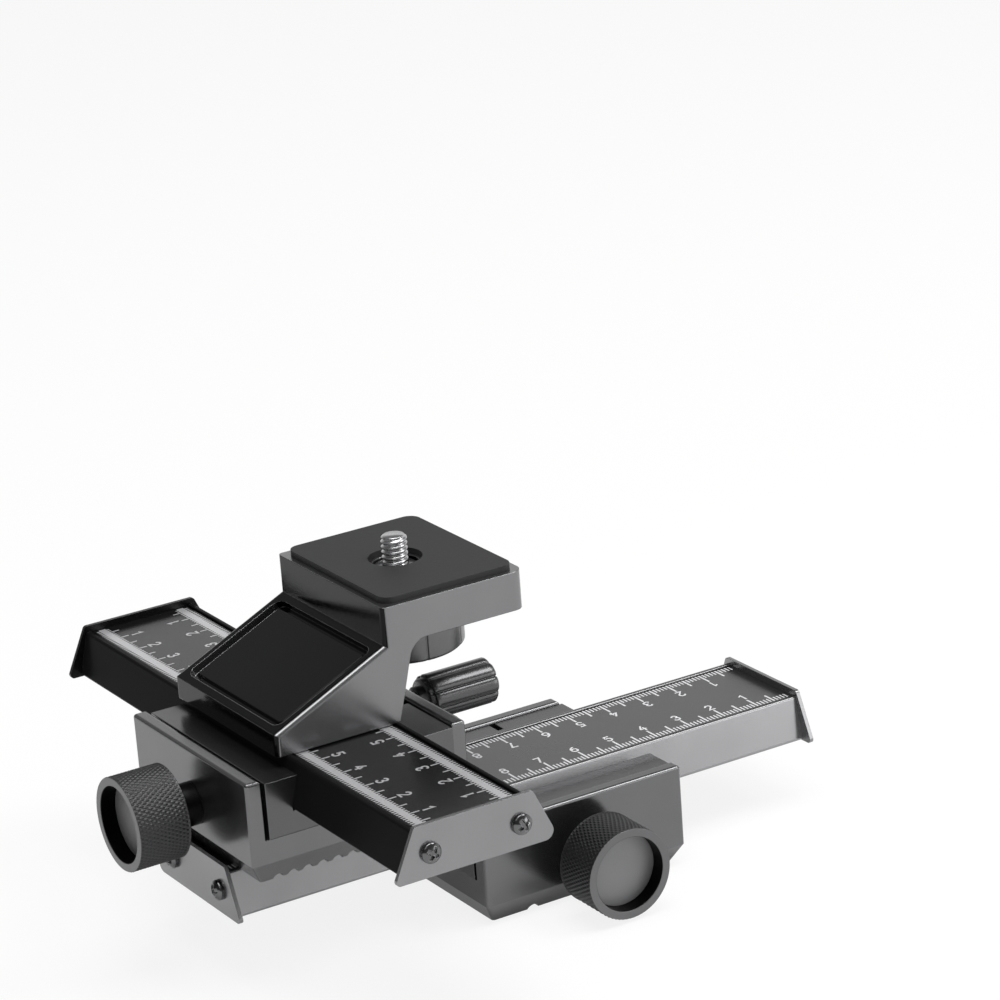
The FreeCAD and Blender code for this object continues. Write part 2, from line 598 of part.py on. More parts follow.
def drive_knob():
    """Knurled knob, dished in front for its disc, on the spindle."""
    e, r, length = KNOB_EDGE, KNOB_R, KNOB_LENGTH
    depth = KNOB_RECESS_DEPTH + KNOB_DISC_THICKNESS
    outline = [(SPINDLE_R, 0), (r - e, 0), (r, e), (r, length - e), (r - e, length),
               (KNOB_RECESS_R, length), (KNOB_RECESS_R, length - depth), (SPINDLE_R, length - depth)]
    knob = turned(outline, -Y)
    knob.translate(V(0, KNOB_BACK, SPINDLE_Z))
    y = KNOB_BACK - SET_SCREW_FROM_BACK
    return knob.cut(rod(SET_SCREW_R, (0, y, SPINDLE_Z), (0, y, SPINDLE_Z - KNOB_R - 1)))


def knob_disc():
    y = KNOB_FRONT + KNOB_RECESS_DEPTH
    return rod(KNOB_RECESS_R - KNOB_DISC_FIT, (0, y, SPINDLE_Z), (0, y + KNOB_DISC_THICKNESS, SPINDLE_Z))


def set_screw():
    y = KNOB_BACK - SET_SCREW_FROM_BACK
    seat = SPINDLE_Z - SPINDLE_R
    return rod(SET_SCREW_R, (0, y, seat), (0, y, seat - SET_SCREW_LENGTH))


# ---------------------------------------------------------------- lock
def lock_pad():
    tip = LOCK_GIB_OUTER + LOCK_PAD_GAP
    return rod(LOCK_PAD_R, (0, tip, LOCK_Z), (0, tip + LOCK_PAD_LENGTH, LOCK_Z))


def lock_screw():
    start = LOCK_GIB_OUTER + LOCK_PAD_GAP + LOCK_PAD_LENGTH + LOCK_SCREW_GAP
    end = WALL_FACE + LOCK_HUB_GAP + LOCK_SCREW_BITE
    return rod(LOCK_THREAD_R, (0, start, LOCK_Z), (0, end, LOCK_Z))


def lock_knob():
    """Fluted grip with a slim hub, moulded round the lock screw."""
    e, r = LOCK_EDGE, LOCK_KNOB_R
    hub, total = LOCK_HUB_LENGTH, LOCK_HUB_LENGTH + LOCK_KNOB_LENGTH
    grip = turned([(0, 0), (LOCK_HUB_R, 0), (LOCK_HUB_R, hub), (r - e, hub), (r, hub + e),
                   (r, total - 2 * e), (r - 2 * e, total), (0, total)])
    ring = r + LOCK_FLUTE_R - LOCK_FLUTE_DEPTH
    flutes = []
    for k in range(LOCK_FLUTES):
        angle = 2 * math.pi * (k + 0.5) / LOCK_FLUTES
        x, y = ring * math.cos(angle), ring * math.sin(angle)
        flutes.append(rod(LOCK_FLUTE_R, (x, y, hub - 1), (x, y, total + 1)))
    flutes.append(rod(LOCK_THREAD_R, (0, 0, -1), (0, 0, LOCK_SCREW_BITE)))
    grip = cut(grip, flutes)
    grip.rotate(V(0, 0, 0), X, -90)
    grip.translate(V(0, WALL_FACE + LOCK_HUB_GAP, LOCK_Z))
    return grip


# ---------------------------------------------------------------- camera bracket, z from the rail's top
def bracket_outline():
    """Side of the bracket as a wire in YZ: lip, panel slope, plate, throat and column."""
    throat_start = V(0, BRACKET_NECK_Y, BRACKET_NECK_Z)
    throat_end = V(0, BRACKET_NECK_Y + BRACKET_THROAT_R, BRACKET_THROAT_Z)
    swing = BRACKET_THROAT_R * (1 - math.cos(math.radians(45)))
    drop = (BRACKET_THROAT_Z - BRACKET_NECK_Z) * (1 - math.sin(math.radians(45)))
    bend = V(0, BRACKET_NECK_Y + swing, BRACKET_THROAT_Z - drop)
    corners = [V(0, BRACKET_NECK_Y, BRACKET_NECK_Z), V(0, BRACKET_FOOT_FRONT, 0),
               V(0, -BRACKET_BACK, 0), V(0, -BRACKET_BACK, BRACKET_PANEL_FOOT),
               V(0, BRACKET_PANEL_HEAD_Y, BRACKET_PANEL_HEAD_Z),
               V(0, BRACKET_PANEL_HEAD_Y, BRACKET_TOP), V(0, BRACKET_PLATE_FRONT, BRACKET_TOP),
               V(0, BRACKET_PLATE_FRONT, BRACKET_THROAT_Z), throat_end]
    edges = [Part.makeLine(a, b) for a, b in zip(corners, corners[1:])]
    edges.append(Part.Arc(throat_end, bend, throat_start).toShape())
    return Part.Wire(Part.sortEdges(edges)[0])


def panel_frame():
    """Placement of the sloping face: its middle, its run up the slope and its normal."""
    foot = V(0, -BRACKET_BACK, BRACKET_PANEL_FOOT)
    head = V(0, BRACKET_PANEL_HEAD_Y, BRACKET_PANEL_HEAD_Z)
    slope = head - foot
    return (foot + head) * 0.5, slope.Length, math.degrees(math.atan2(slope.z, slope.y))


def on_panel(shape):
    """Move a shape drawn flat about the origin on to the sloping face."""
    middle, _, tilt = panel_frame()
    shape.rotate(V(0, 0, 0), X, tilt)
    shape.translate(middle)
    return shape


def panel_slab(inset, corner, thickness):
    """Plate standing on the pocket's floor, inset from the pocket's walls, drawn flat."""
    _, length, _ = panel_frame()
    outline = rounded_rectangle(BRACKET_WIDTH - 2 * (PANEL_SIDE_MARGIN + inset),
                                length - 2 * (PANEL_END_MARGIN + inset), corner, -PANEL_POCKET_DEPTH)
    return Part.Face(outline).extrude(V(0, 0, thickness))


def bracket_screw_places():
    return [(a * BRACKET_SCREW_X, b * BRACKET_SCREW_Y) for a, b in signs()]


def camera_bracket():
    half = BRACKET_WIDTH / 2
    wire = bracket_outline()
    wire.translate(V(-half, 0, 0))
    body = Part.Face(wire).extrude(V(BRACKET_WIDTH, 0, 0))
    front = [e for e in body.Edges if e.BoundBox.ZLength > 1 and e.BoundBox.XLength < 1e-6
             and abs(e.CenterOfMass.y - BRACKET_PLATE_FRONT) < 1e-6]
    body = body.makeFillet(BRACKET_SIDE_ROUND, front)
    rims = [e for e in body.Edges if abs(abs(e.CenterOfMass.x) - half) < 1e-6
            and e.CenterOfMass.y < BRACKET_PANEL_HEAD_Y + 0.1 and e.CenterOfMass.z > 0.1]
    body = body.makeFillet(BRACKET_EDGE, rims)
    pocket = on_panel(panel_slab(0.0, PANEL_POCKET_CORNER, 2 * PANEL_POCKET_DEPTH))
    wheel_room = rod(WHEEL_R + WHEEL_POCKET_GAP, (0, CAMERA_SCREW_Y, WHEEL_BOTTOM - WHEEL_POCKET_GAP),
                     (0, CAMERA_SCREW_Y, BRACKET_THROAT_Z))
    tools = [pocket, wheel_room,
             rod(CAMERA_SHANK_R + CAMERA_SHANK_CLEARANCE, (0, CAMERA_SCREW_Y, 0),
                 (0, CAMERA_SCREW_Y, BRACKET_TOP + 1)),
             rod(CLIP_RECESS_R, (0, CAMERA_SCREW_Y, BRACKET_TOP - CLIP_RECESS_DEPTH),
                 (0, CAMERA_SCREW_Y, BRACKET_TOP + 1))]
    for x, y in bracket_screw_places():
        tools.append(rod(BRACKET_SCREW_R, (x, y, -1), (x, y, BRACKET_SCREW_BITE)))
    return cut(body, tools)


def bracket_panel():
    """Plain raised plate on the pocket's floor, with an open moat round it."""
    slab = panel_slab(PANEL_GAP, PANEL_CORNER, PANEL_THICKNESS)
    top = PANEL_THICKNESS - PANEL_POCKET_DEPTH
    return on_panel(slab.makeFillet(PANEL_EDGE, [e for e in slab.Edges if e.BoundBox.ZMin > top - 1e-6]))


def bracket_screws():
    """Screws up through the rail into the bracket, heads sunk in the rail's underside."""
    head_z = -RAIL_HEIGHT + BRACKET_SCREW_SINK
    shank = BRACKET_SCREW_BITE - SCREW_HOLE_GAP - head_z - BRACKET_SCREW_HEAD_HEIGHT
    screws = []
    for x, y in bracket_screw_places():
        screw = cap_screw(BRACKET_SCREW_HEAD_R, BRACKET_SCREW_HEAD_HEIGHT, BRACKET_SCREW_R, shank)
        screw.rotate(V(0, 0, 0), X, 180)
        screw.translate(V(x, y, head_z))
        screws.append(screw)
    return Part.makeCompound(screws)


def bracket_screw_holes():
    """Clearance holes for the same screws in rail and scale plate."""
    tools = []
    for x, y in bracket_screw_places():
        tools.append(rod(BRACKET_SCREW_R + SCREW_HOLE_GAP, (x, y, -RAIL_HEIGHT - 1), (x, y, 1)))
        tools.append(rod(BRACKET_SCREW_HEAD_R + SCREW_HOLE_GAP, (x, y, -RAIL_HEIGHT - 1),
                         (x, y, -RAIL_HEIGHT + BRACKET_SCREW_SINK + BRACKET_SCREW_HEAD_HEIGHT)))
    return Part.makeCompound(tools)


def wheel_top():
    return BRACKET_THROAT_Z - WHEEL_PLATE_GAP


def camera_thumbwheel():
    e, r, height = WHEEL_EDGE, WHEEL_R, wheel_top() - WHEEL_BOTTOM
    wheel = turned([(CAMERA_SHANK_R, 0), (r - e, 0), (r, e), (r, height - e), (r - e, height),
                    (CAMERA_SHANK_R, height)])
    notches = []
    for k in range(WHEEL_NOTCHES):
        angle = 2 * math.pi * k / WHEEL_NOTCHES + math.radians(WHEEL_TURN)
        x, y = r * math.cos(angle), r * math.sin(angle)
        notches.append(rod(WHEEL_NOTCH_R, (x, y, -1), (x, y, height + 1)))
    wheel = cut(wheel, notches)
    wheel.translate(V(0, CAMERA_SCREW_Y, WHEEL_BOTTOM))
    return wheel


def camera_screw():
    """Tripod thread above the pad, on a slimmer shank that keeps the screw captive."""
    z0, z1 = WHEEL_BOTTOM, BRACKET_TOP + PAD_THICKNESS
    z2, r = z1 + CAMERA_THREAD_HEIGHT, CAMERA_THREAD_R
    tip = CAMERA_TIP_CHAMFER
    screw = turned([(0, z0), (CAMERA_SHANK_R, z0), (CAMERA_SHANK_R, z1), (r, z1),
                    (r, z2 - tip), (r - tip, z2), (0, z2)])
    screw.translate(V(0, CAMERA_SCREW_Y, 0))
    return screw


def camera_screw_clip():
    z0 = BRACKET_TOP - CLIP_RECESS_DEPTH + CLIP_LIFT
    ring = rod(CLIP_R, (0, CAMERA_SCREW_Y, z0), (0, CAMERA_SCREW_Y, z0 + CLIP_THICKNESS))
    return ring.cut(camera_screw())


def camera_pad():
    depth = BRACKET_PLATE_FRONT - BRACKET_PANEL_HEAD_Y - 2 * PAD_INSET
    outline = rounded_rectangle(BRACKET_WIDTH - 2 * PAD_INSET, depth, PAD_CORNER, BRACKET_TOP)
    pad = Part.Face(outline).extrude(V(0, 0, PAD_THICKNESS))
    pad.translate(V(0, (BRACKET_PLATE_FRONT + BRACKET_PANEL_HEAD_Y) / 2, 0))
    return pad.cut(rod(PAD_HOLE_R, (0, CAMERA_SCREW_Y, 0), (0, CAMERA_SCREW_Y, 2 * BRACKET_TOP)))


# ---------------------------------------------------------------- tripod socket, stage screws
def tripod_insert():
    insert = rod(TRIPOD_INSERT_R, (0, 0, 0), (0, 0, TRIPOD_INSERT_HEIGHT))
    return insert.cut(rod(TRIPOD_THREAD_R, (0, 0, -1), (0, 0, TRIPOD_INSERT_HEIGHT + 1)))


def stage_screws():
    """Screws from the upper carriage's floor down into the lower rail."""
    shank = FLOOR_HEIGHT - STAGE_SCREW_SINK - STAGE_SCREW_HEAD_HEIGHT + STAGE_SCREW_BITE
    screws = []
    for a, b in signs():
        screw = cap_screw(STAGE_SCREW_HEAD_R, STAGE_SCREW_HEAD_HEIGHT, STAGE_SCREW_R, shank)
        screw.translate(V(a * STAGE_SCREW_X, b * STAGE_SCREW_Y, FLOOR_HEIGHT - STAGE_SCREW_SINK))
        screws.append(screw)
    return Part.makeCompound(screws)


def stage_screw_holes(extra):
    """The same screws' holes, in the upper stage's frame."""
    depth = -STAGE_SCREW_BITE - SCREW_HOLE_GAP
    return Part.makeCompound([rod(STAGE_SCREW_R + extra, (a * STAGE_SCREW_X, b * STAGE_SCREW_Y, depth),
                                  (a * STAGE_SCREW_X, b * STAGE_SCREW_Y, 1)) for a, b in signs()])


# ---------------------------------------------------------------- assembly
def in_lower(shape):
    placed = shape.copy()
    placed.rotate(V(0, 0, 0), Z, 90)
    return placed


def in_upper(shape):
    placed = shape.copy()
    placed.translate(V(0, UPPER_Y, STAGE_HEIGHT))
    return placed


def slid(shape, shift, lift=0.0):
    """A piece of the rail, moved to where the rail stands."""
    moved = shape.copy()
    moved.translate(V(shift, 0, lift))
    return moved


def stage_nodes(stage, place, shift, is_upper):
    """Every piece of one geared stage, by node name."""
    rail_bar, scale = slid(rail(), shift), slid(scale_plate(), shift)
    if is_upper:
        holes = slid(bracket_screw_holes(), shift + BRACKET_SHIFT, STAGE_HEIGHT)
        rail_bar, scale = rail_bar.cut(holes), scale.cut(holes)
    rail_bar, scale = place(rail_bar), place(scale)
    if not is_upper:
        rail_bar = rail_bar.cut(in_upper(stage_screw_holes(0.0)))
        scale = scale.cut(in_upper(stage_screw_holes(SCREW_HOLE_GAP)))
    still = {
        "carriage": carriage(is_upper), "drive_gib": gib(-1), "lock_gib": gib(1),
        "gib_screws": gib_screws(), "wall_bush": wall_bush(), "inner_bush": inner_bush(),
        "spindle": spindle(), "pinion": pinion(), "drive_knob": drive_knob(),
        "knob_disc": knob_disc(), "knob_set_screw": set_screw(),
        "lock_pad": lock_pad(), "lock_screw": lock_screw(), "lock_knob": lock_knob(),
    }
    sliding = {
        "rack": rack(shift), "rack_screws": rack_screws(), "near_end_plate": end_plate(-1),
        "far_end_plate": end_plate(1), "end_plate_screws": end_plate_screws(),
    }
    nodes = {stage + "_" + name: place(shape) for name, shape in still.items()}
    nodes.update({stage + "_" + name: place(slid(shape, shift)) for name, shape in sliding.items()})
    nodes[stage + "_rail"] = rail_bar
    nodes[stage + "_scale_plate"] = scale
    return nodes


def bracket_nodes():
    parts = {
        "camera_bracket": camera_bracket(), "bracket_panel": bracket_panel(),
        "bracket_screws": bracket_screws(), "camera_thumbwheel": camera_thumbwheel(),
        "camera_screw": camera_screw(), "camera_screw_clip": camera_screw_clip(),
        "camera_pad": camera_pad(),
    }
    shift = UPPER_SHIFT + BRACKET_SHIFT
    return {name: in_upper(slid(shape, shift, STAGE_HEIGHT)) for name, shape in parts.items()}


def main():
    nodes = {}
    nodes.update(stage_nodes("lower", in_lower, LOWER_SHIFT, False))
    nodes.update(stage_nodes("upper", in_upper, UPPER_SHIFT, True))
    nodes.update(bracket_nodes())
    nodes["tripod_insert"] = tripod_insert()
    nodes["stage_screws"] = in_upper(stage_screws())
    os.makedirs("parts", exist_ok=True)
    for name, shape in sorted(nodes.items()):
        if not shape.isValid():
            print("not valid:", name)
        shape.exportStep(os.path.join("parts", name + ".step"))
    print(len(nodes), "nodes")


main()
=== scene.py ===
"""Looks of the macro focusing rail: knurling, ruler print, screws, threads, finishes, light and camera.

Sizes are in millimetres and every mesh is written in metres. A stage's own frame has s along its rail,
u from the drive knob's side to the lock knob's side and z up from the carriage's underside.
"""
import bpy
import json
import math
import numpy as np
from mathutils import Matrix, Vector


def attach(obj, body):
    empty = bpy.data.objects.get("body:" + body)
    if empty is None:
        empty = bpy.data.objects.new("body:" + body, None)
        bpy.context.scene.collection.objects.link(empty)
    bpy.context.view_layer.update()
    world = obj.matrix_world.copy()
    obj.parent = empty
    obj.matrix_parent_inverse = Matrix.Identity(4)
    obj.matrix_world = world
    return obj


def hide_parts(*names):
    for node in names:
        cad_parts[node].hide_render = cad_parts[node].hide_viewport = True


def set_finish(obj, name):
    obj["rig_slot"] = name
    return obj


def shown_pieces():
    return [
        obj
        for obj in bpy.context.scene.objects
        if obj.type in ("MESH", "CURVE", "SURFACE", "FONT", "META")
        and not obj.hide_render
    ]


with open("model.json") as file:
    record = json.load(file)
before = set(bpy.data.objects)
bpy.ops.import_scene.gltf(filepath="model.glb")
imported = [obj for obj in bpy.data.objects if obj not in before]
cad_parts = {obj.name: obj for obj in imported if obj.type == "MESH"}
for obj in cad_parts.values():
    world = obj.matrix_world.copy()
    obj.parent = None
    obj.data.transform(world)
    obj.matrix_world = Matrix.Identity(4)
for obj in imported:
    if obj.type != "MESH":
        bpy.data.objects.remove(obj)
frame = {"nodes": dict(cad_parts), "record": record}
nodes = frame["nodes"]
MM = 0.001
TAU = 2 * math.pi


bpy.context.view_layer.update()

# ---------------------------------------------------------------- places, shared with the solids
STAGE_HEIGHT = 27.5
UPPER_Y = -58.6
LOWER_SHIFT, UPPER_SHIFT = -7.6, -1.1
BRACKET_X = UPPER_SHIFT - 1.0
HALF_RAIL = 80.0
DRIVE_Z, LOCK_Z = 12.3, 21.2
SCALE_TOP = 27.1
RAIL_TOP = 2 * STAGE_HEIGHT
CAMERA_SCREW = (BRACKET_X, UPPER_Y + 30.7)


def lower(points):
    """Lower stage's frame to the part's: a quarter turn, so s runs along +Y and u along -X."""
    s, u, z = points[..., 0], points[..., 1], points[..., 2]
    return np.stack([-u, s, z], axis=-1)


def upper(points):
    """Upper stage's frame to the part's: shifted back and up by one stage."""
    return points + np.array([0, UPPER_Y, STAGE_HEIGHT])


# each stage's frame, how far its rail is shifted, and the body its carriage belongs to
STAGES = {
    "lower": (lower, LOWER_SHIFT, "base"),
    "upper": (upper, UPPER_SHIFT, "lower_slide"),
}
CORNERS = [(-1, -1), (-1, 1), (1, -1), (1, 1)]


# ---------------------------------------------------------------- surfaces
def new_object(name, shape, body, slot_name, smooth=True):
    """One mesh object at the origin, in metres, that rides on a body and has a material slot's name."""
    verts, faces = shape
    mesh = bpy.data.meshes.new(name)
    mesh.from_pydata(np.asarray(verts, float).reshape(-1, 3) * MM, [], faces)
    mesh.validate()
    mesh.polygons.foreach_set("use_smooth", np.full(len(mesh.polygons), smooth))
    mesh.update()
    piece = bpy.data.objects.new(name, mesh)
    bpy.context.scene.collection.objects.link(piece)
    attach(piece, body)
    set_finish(piece, slot_name)
    return piece


def joined(shapes):
    """Several (vertices, faces) pairs as one."""
    verts, faces, count = [], [], 0
    for points, quads in shapes:
        verts.append(points)
        faces += [[v + count for v in quad] for quad in quads]
        count += len(points)
    return np.vstack(verts), faces


def band_faces(rows, columns, wrap_rows=False):
    """Quads of a rows by columns grid whose columns close on themselves."""
    i = np.arange(rows if wrap_rows else rows - 1)[:, None]
    j = np.arange(columns)[None, :]
    below, above = i * columns, ((i + 1) % rows) * columns
    right = (j + 1) % columns
    return np.stack([below + j, below + right, above + right, above + j], axis=-1).reshape(-1, 4).tolist()


def ring_points(radius, height, turn=None):
    """Rings (r cos t, r sin t, h), with r and h given per row and column and t per column."""
    columns = radius.shape[1]
    t = np.arange(columns) * TAU / columns if turn is None else turn
    return np.stack([radius * np.cos(t), radius * np.sin(t), height], axis=-1).reshape(-1, 3)


def turned_body(radius, height, turn=None):
    """Closed turned body: its rings, and a fan of triangles to a pole at each end."""
    rows, columns = radius.shape
    poles = [[0, 0, height[0].mean()], [0, 0, height[-1].mean()]]
    points = np.vstack([ring_points(radius, height, turn), poles])
    low, high, top = rows * columns, rows * columns + 1, (rows - 1) * columns
    j = np.arange(columns)
    k = (j + 1) % columns
    faces = band_faces(rows, columns)
    faces += np.stack([np.full(columns, low), k, j], axis=-1).tolist()
    faces += np.stack([np.full(columns, high), top + j, top + k], axis=-1).tolist()
    return points, faces


def spread(section, columns):
    """Radius and height of a section's corners, repeated for each column."""
    section = np.array(section, float)
    return np.repeat(section[:, :1], columns, axis=1), np.repeat(section[:, 1:], columns, axis=1)


def along(points, axis, origin):
    """Lay a body turned about Z on an axis: its own Z becomes the axis, right-handed."""
    axis = np.array(axis, float)
    side = np.cross([0, 0, 1], axis) if abs(axis[2]) < 0.9 else np.array([1.0, 0, 0])
    side /= np.linalg.norm(side)
    third = np.cross(axis, side)
    return points @ np.array([side, third, axis]) + np.array(origin, float)


def profile_rows(profile, step):
    """Points along a profile of (radius, height) corners, spaced by at most one step."""
    rows = []
    for (r0, h0), (r1, h1) in zip(profile, profile[1:]):
        count = max(1, int(math.ceil(math.hypot(r1 - r0, h1 - h0) / step)))
        part = np.linspace(0, 1, count, endpoint=False)[:, None]
        rows.append(np.array([[r0, h0]]) * (1 - part) + np.array([[r1, h1]]) * part)
    rows.append(np.array([profile[-1]], float))
    return np.vstack(rows)


def rounded_top(radius, height, size):
    """Profile corners (r, h) over a rounded top edge, from its wall to its top."""
    a = np.linspace(0, math.pi / 2, 6)
    return list(zip(radius - size + size * np.cos(a), height - size + size * np.sin(a)))


def smoothstep(low, high, x):
    """0 below low, 1 above high, and 3t^2 - 2t^3 between them."""
    t = np.clip((x - low) / (high - low), 0, 1)
    return t * t * (3 - 2 * t)


def triangle_wave(x):
    """0 at whole numbers and 1 half way between them, straight in between."""
    return 1 - np.abs(2 * (x - np.floor(x)) - 1)


# ---------------------------------------------------------------- drive knobs
KNOB_R, KNOB_LENGTH = 11.35, 12.9
KNOB_BORE_R = 2.5
KNOB_BACK = 35.3
KNOB_EDGE = 0.16
KNOB_RECESS_R, KNOB_RECESS_FLOOR, KNOB_RECESS_EDGE = 9.2, 4.8, 0.15
KNOB_EDGE_RING = 0.04           # a ring this close to an edge keeps the flat faces' shading flat
KNURL_TEETH, KNURL_ROWS = 66, 6.6
KNURL_DEPTH = 0.3
KNURL_MARGIN = 0.14
KNURL_SAMPLES, KNURL_ROW_SAMPLES = 8, 10
KNURL_UNSHADED = 0.4               # the knurl keeps this share of the front face's tone; the rest is painted shade towards black, with a matte roughness


def knurled_ring():
    """Section of the knob carried round its axis; on the rim r = R - d (1 - min(a, b)), where a and b are
    triangle waves of turn plus height and turn minus height, which leaves rows of small pyramids. With it
    comes each point's unshaded share for the painted shade: 1 on the front face, part way on the knurl and 0
    in the recess and on the back."""
    columns = KNURL_TEETH * KNURL_SAMPLES
    e, top = KNOB_EDGE, KNOB_LENGTH
    rim_low, rim_high = e, top - e
    step = (rim_high - rim_low) / round(KNURL_ROWS * KNURL_ROW_SAMPLES)
    recess_r, edge, near = KNOB_RECESS_R, KNOB_RECESS_EDGE, KNOB_EDGE_RING
    floor = top - KNOB_RECESS_FLOOR
    section = np.vstack([
        profile_rows([(KNOB_BORE_R, 0.0), (KNOB_R - e, 0.0)], 3.0)[:-1],
        profile_rows([(KNOB_R - e, 0.0), (KNOB_R, rim_low)], e)[:-1],
        profile_rows([(KNOB_R, rim_low), (KNOB_R, rim_high)], step * 1.001)[:-1],
        [(KNOB_R, rim_high), (KNOB_R - e, top), (KNOB_R - e - near, top)],
        [(recess_r + edge + near, top), (recess_r + edge, top), (recess_r, top - edge),
         (recess_r, top - edge - near), (recess_r, floor + near), (recess_r, floor), (KNOB_BORE_R, floor)]])
    radius, height = spread(section, columns)
    turn = np.arange(columns)[None, :] / KNURL_SAMPLES
    rise = (height - rim_low) / (rim_high - rim_low) * KNURL_ROWS
    pyramid = np.minimum(triangle_wave(turn + rise), triangle_wave(turn - rise))
    fade = smoothstep(0, KNURL_MARGIN, height - rim_low)
    fade = fade * smoothstep(-KNURL_MARGIN, KNURL_MARGIN, rim_high - height)
    radius = radius - (radius > KNOB_R - 1e-6) * KNURL_DEPTH * fade * (1 - pyramid)
    on_face = (section[:, 1] > top - 1e-6) & (section[:, 0] > recess_r)
    # painted shade: the front face keeps its tone, the knurl part of it, the recess and the back none
    light = np.select([on_face, section[:, 0] > KNOB_R - e - 1e-6], [1.0, KNURL_UNSHADED], 0.0)
    faces = band_faces(len(section), columns, wrap_rows=True)
    return ring_points(radius, height), faces, np.repeat(light, columns)


def make_drive_knobs():
    """A knurled knob on each stage's spindle."""
    points, faces, light = knurled_ring()
    for stage, (to_part, _, _) in STAGES.items():
        laid = to_part(along(points, (0, -1, 0), (0, -KNOB_BACK, DRIVE_Z)))
        knob = new_object(stage + "_knurled_knob", (laid, faces), stage + "_drive", "drive_knob")
        # each point's share of the front face's tone; the rest is painted shade
        zone = knob.data.attributes.new("face_unshaded", "FLOAT", "POINT")
        zone.data.foreach_set("value", light.astype(np.float32))
        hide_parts(stage + "_drive_knob")


# ---------------------------------------------------------------- lock knobs and their screws
LOCK_HUB_R, LOCK_HUB_LENGTH, LOCK_HUB_START = 3.4, 3.1, 31.6
LOCK_COLLAR_R, LOCK_COLLAR_LENGTH, LOCK_COLLAR_EDGE = 4.9, 1.1, 0.25
LOCK_GRIP_R, LOCK_GRIP_LENGTH, LOCK_HEEL, LOCK_BEVEL = 5.7, 17.5, 0.5, 0.75
LOCK_LOBES, LOCK_LOBE_COLUMNS, LOCK_FIRST_GROOVE = 8, 36, math.radians(16.3)
LOCK_CROWN, LOCK_GROOVE = 0.5, 0.4
THREAD_R, THREAD_PITCH, THREAD_DEPTH = 2.4, 0.8, 0.42
THREAD_COLUMNS, THREAD_ROWS = 56, 10          # points round a thread, and along each pitch
LOCK_SCREW_START, LOCK_SCREW_BITE = 28.45, 2.0
LOCK_GROOVE_FROM = 0.84         # share of a lobe's half width where the groove beside it starts


def lock_grip():
    """Turned grip with crowned lobes: r = R - c |x|^3 - g s(|x|), x from -1 to 1 across each lobe and s a
    smooth step at the groove between two lobes; a plain hub and a collar lead to the screw."""
    columns = LOCK_LOBES * LOCK_LOBE_COLUMNS
    start, total = LOCK_HUB_LENGTH, LOCK_HUB_LENGTH + LOCK_GRIP_LENGTH
    collar = start - LOCK_COLLAR_LENGTH
    r, e = LOCK_GRIP_R, LOCK_COLLAR_EDGE
    grip_low, grip_high = start + 0.3, total - LOCK_BEVEL
    section = [(LOCK_HUB_R - 0.2, 0.0), (LOCK_HUB_R, 0.2), (LOCK_HUB_R, collar),
               (LOCK_COLLAR_R - e, collar), (LOCK_COLLAR_R, collar + e), (LOCK_COLLAR_R, start),
               (r - LOCK_HEEL, start), (r - 0.15, start + 0.1), (r, grip_low)]
    section += [(r, h) for h in np.linspace(grip_low, grip_high, 20)[1:]]
    section += [(r - 0.1, grip_high + 0.22), (r - 0.5, total - 0.12), (r - 0.8, total), (3.4, total),
                (3.2, total - 0.25), (1.5, total - 0.25)]
    radius, height = spread(section, columns)
    turn = LOCK_FIRST_GROOVE + np.arange(columns) * TAU / columns
    x = np.abs((np.arange(columns) / LOCK_LOBE_COLUMNS) % 1.0 * 2 - 1)
    dip = LOCK_CROWN * x ** 3 + LOCK_GROOVE * smoothstep(LOCK_GROOVE_FROM, 1.0, x)
    reach = (height > start - 1e-6) * smoothstep(r - 1.9, r - 0.9, radius)
    return turned_body(radius - dip * reach, height, turn)


def threaded_rod(radius, depth, pitch, length, tip=0.0, shank=None):
    """Rod with a helical groove: r = R - d g(h / pitch - turn), g a V wave flattened at crest and root, which
    fades at the start and tapers at the tip; a plain shank (radius, length) may come before it."""
    columns, rows = THREAD_COLUMNS, int(length / pitch * THREAD_ROWS) + 1
    height = np.repeat(np.linspace(0, length, rows)[:, None], columns, axis=1)
    turn = np.arange(columns)[None, :] / columns
    groove = smoothstep(0.1, 0.9, triangle_wave(height / pitch - turn))
    taper = np.clip(height - (length - tip), 0, tip)
    r = np.minimum(radius - depth * groove * smoothstep(0, pitch, height), radius - taper)
    if shank:
        shank_r, shank_h = spread([(shank[0], -shank[1]), (shank[0], 0.0)], columns)
        r, height = np.vstack([shank_r, r]), np.vstack([shank_h, height])
    return turned_body(r, height)


def make_locks():
    """Each stage's lock knob and the screw that it turns."""
    grip, grip_faces = lock_grip()
    length = LOCK_HUB_START + LOCK_SCREW_BITE - LOCK_SCREW_START
    rod, rod_faces = threaded_rod(THREAD_R, THREAD_DEPTH, THREAD_PITCH, length)
    for stage, (to_part, _, _) in STAGES.items():
        body = stage + "_lock"
        laid = to_part(along(grip, (0, 1, 0), (0, LOCK_HUB_START, LOCK_Z)))
        knob = new_object(stage + "_lock_grip", (laid, grip_faces), body, "lock_knob")
        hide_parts(stage + "_lock_knob")
        laid = to_part(along(rod, (0, 1, 0), (0, LOCK_SCREW_START, LOCK_Z)))
        screw = new_object(stage + "_lock_thread", (laid, rod_faces), body, "lock_screw")
        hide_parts(stage + "_lock_screw")


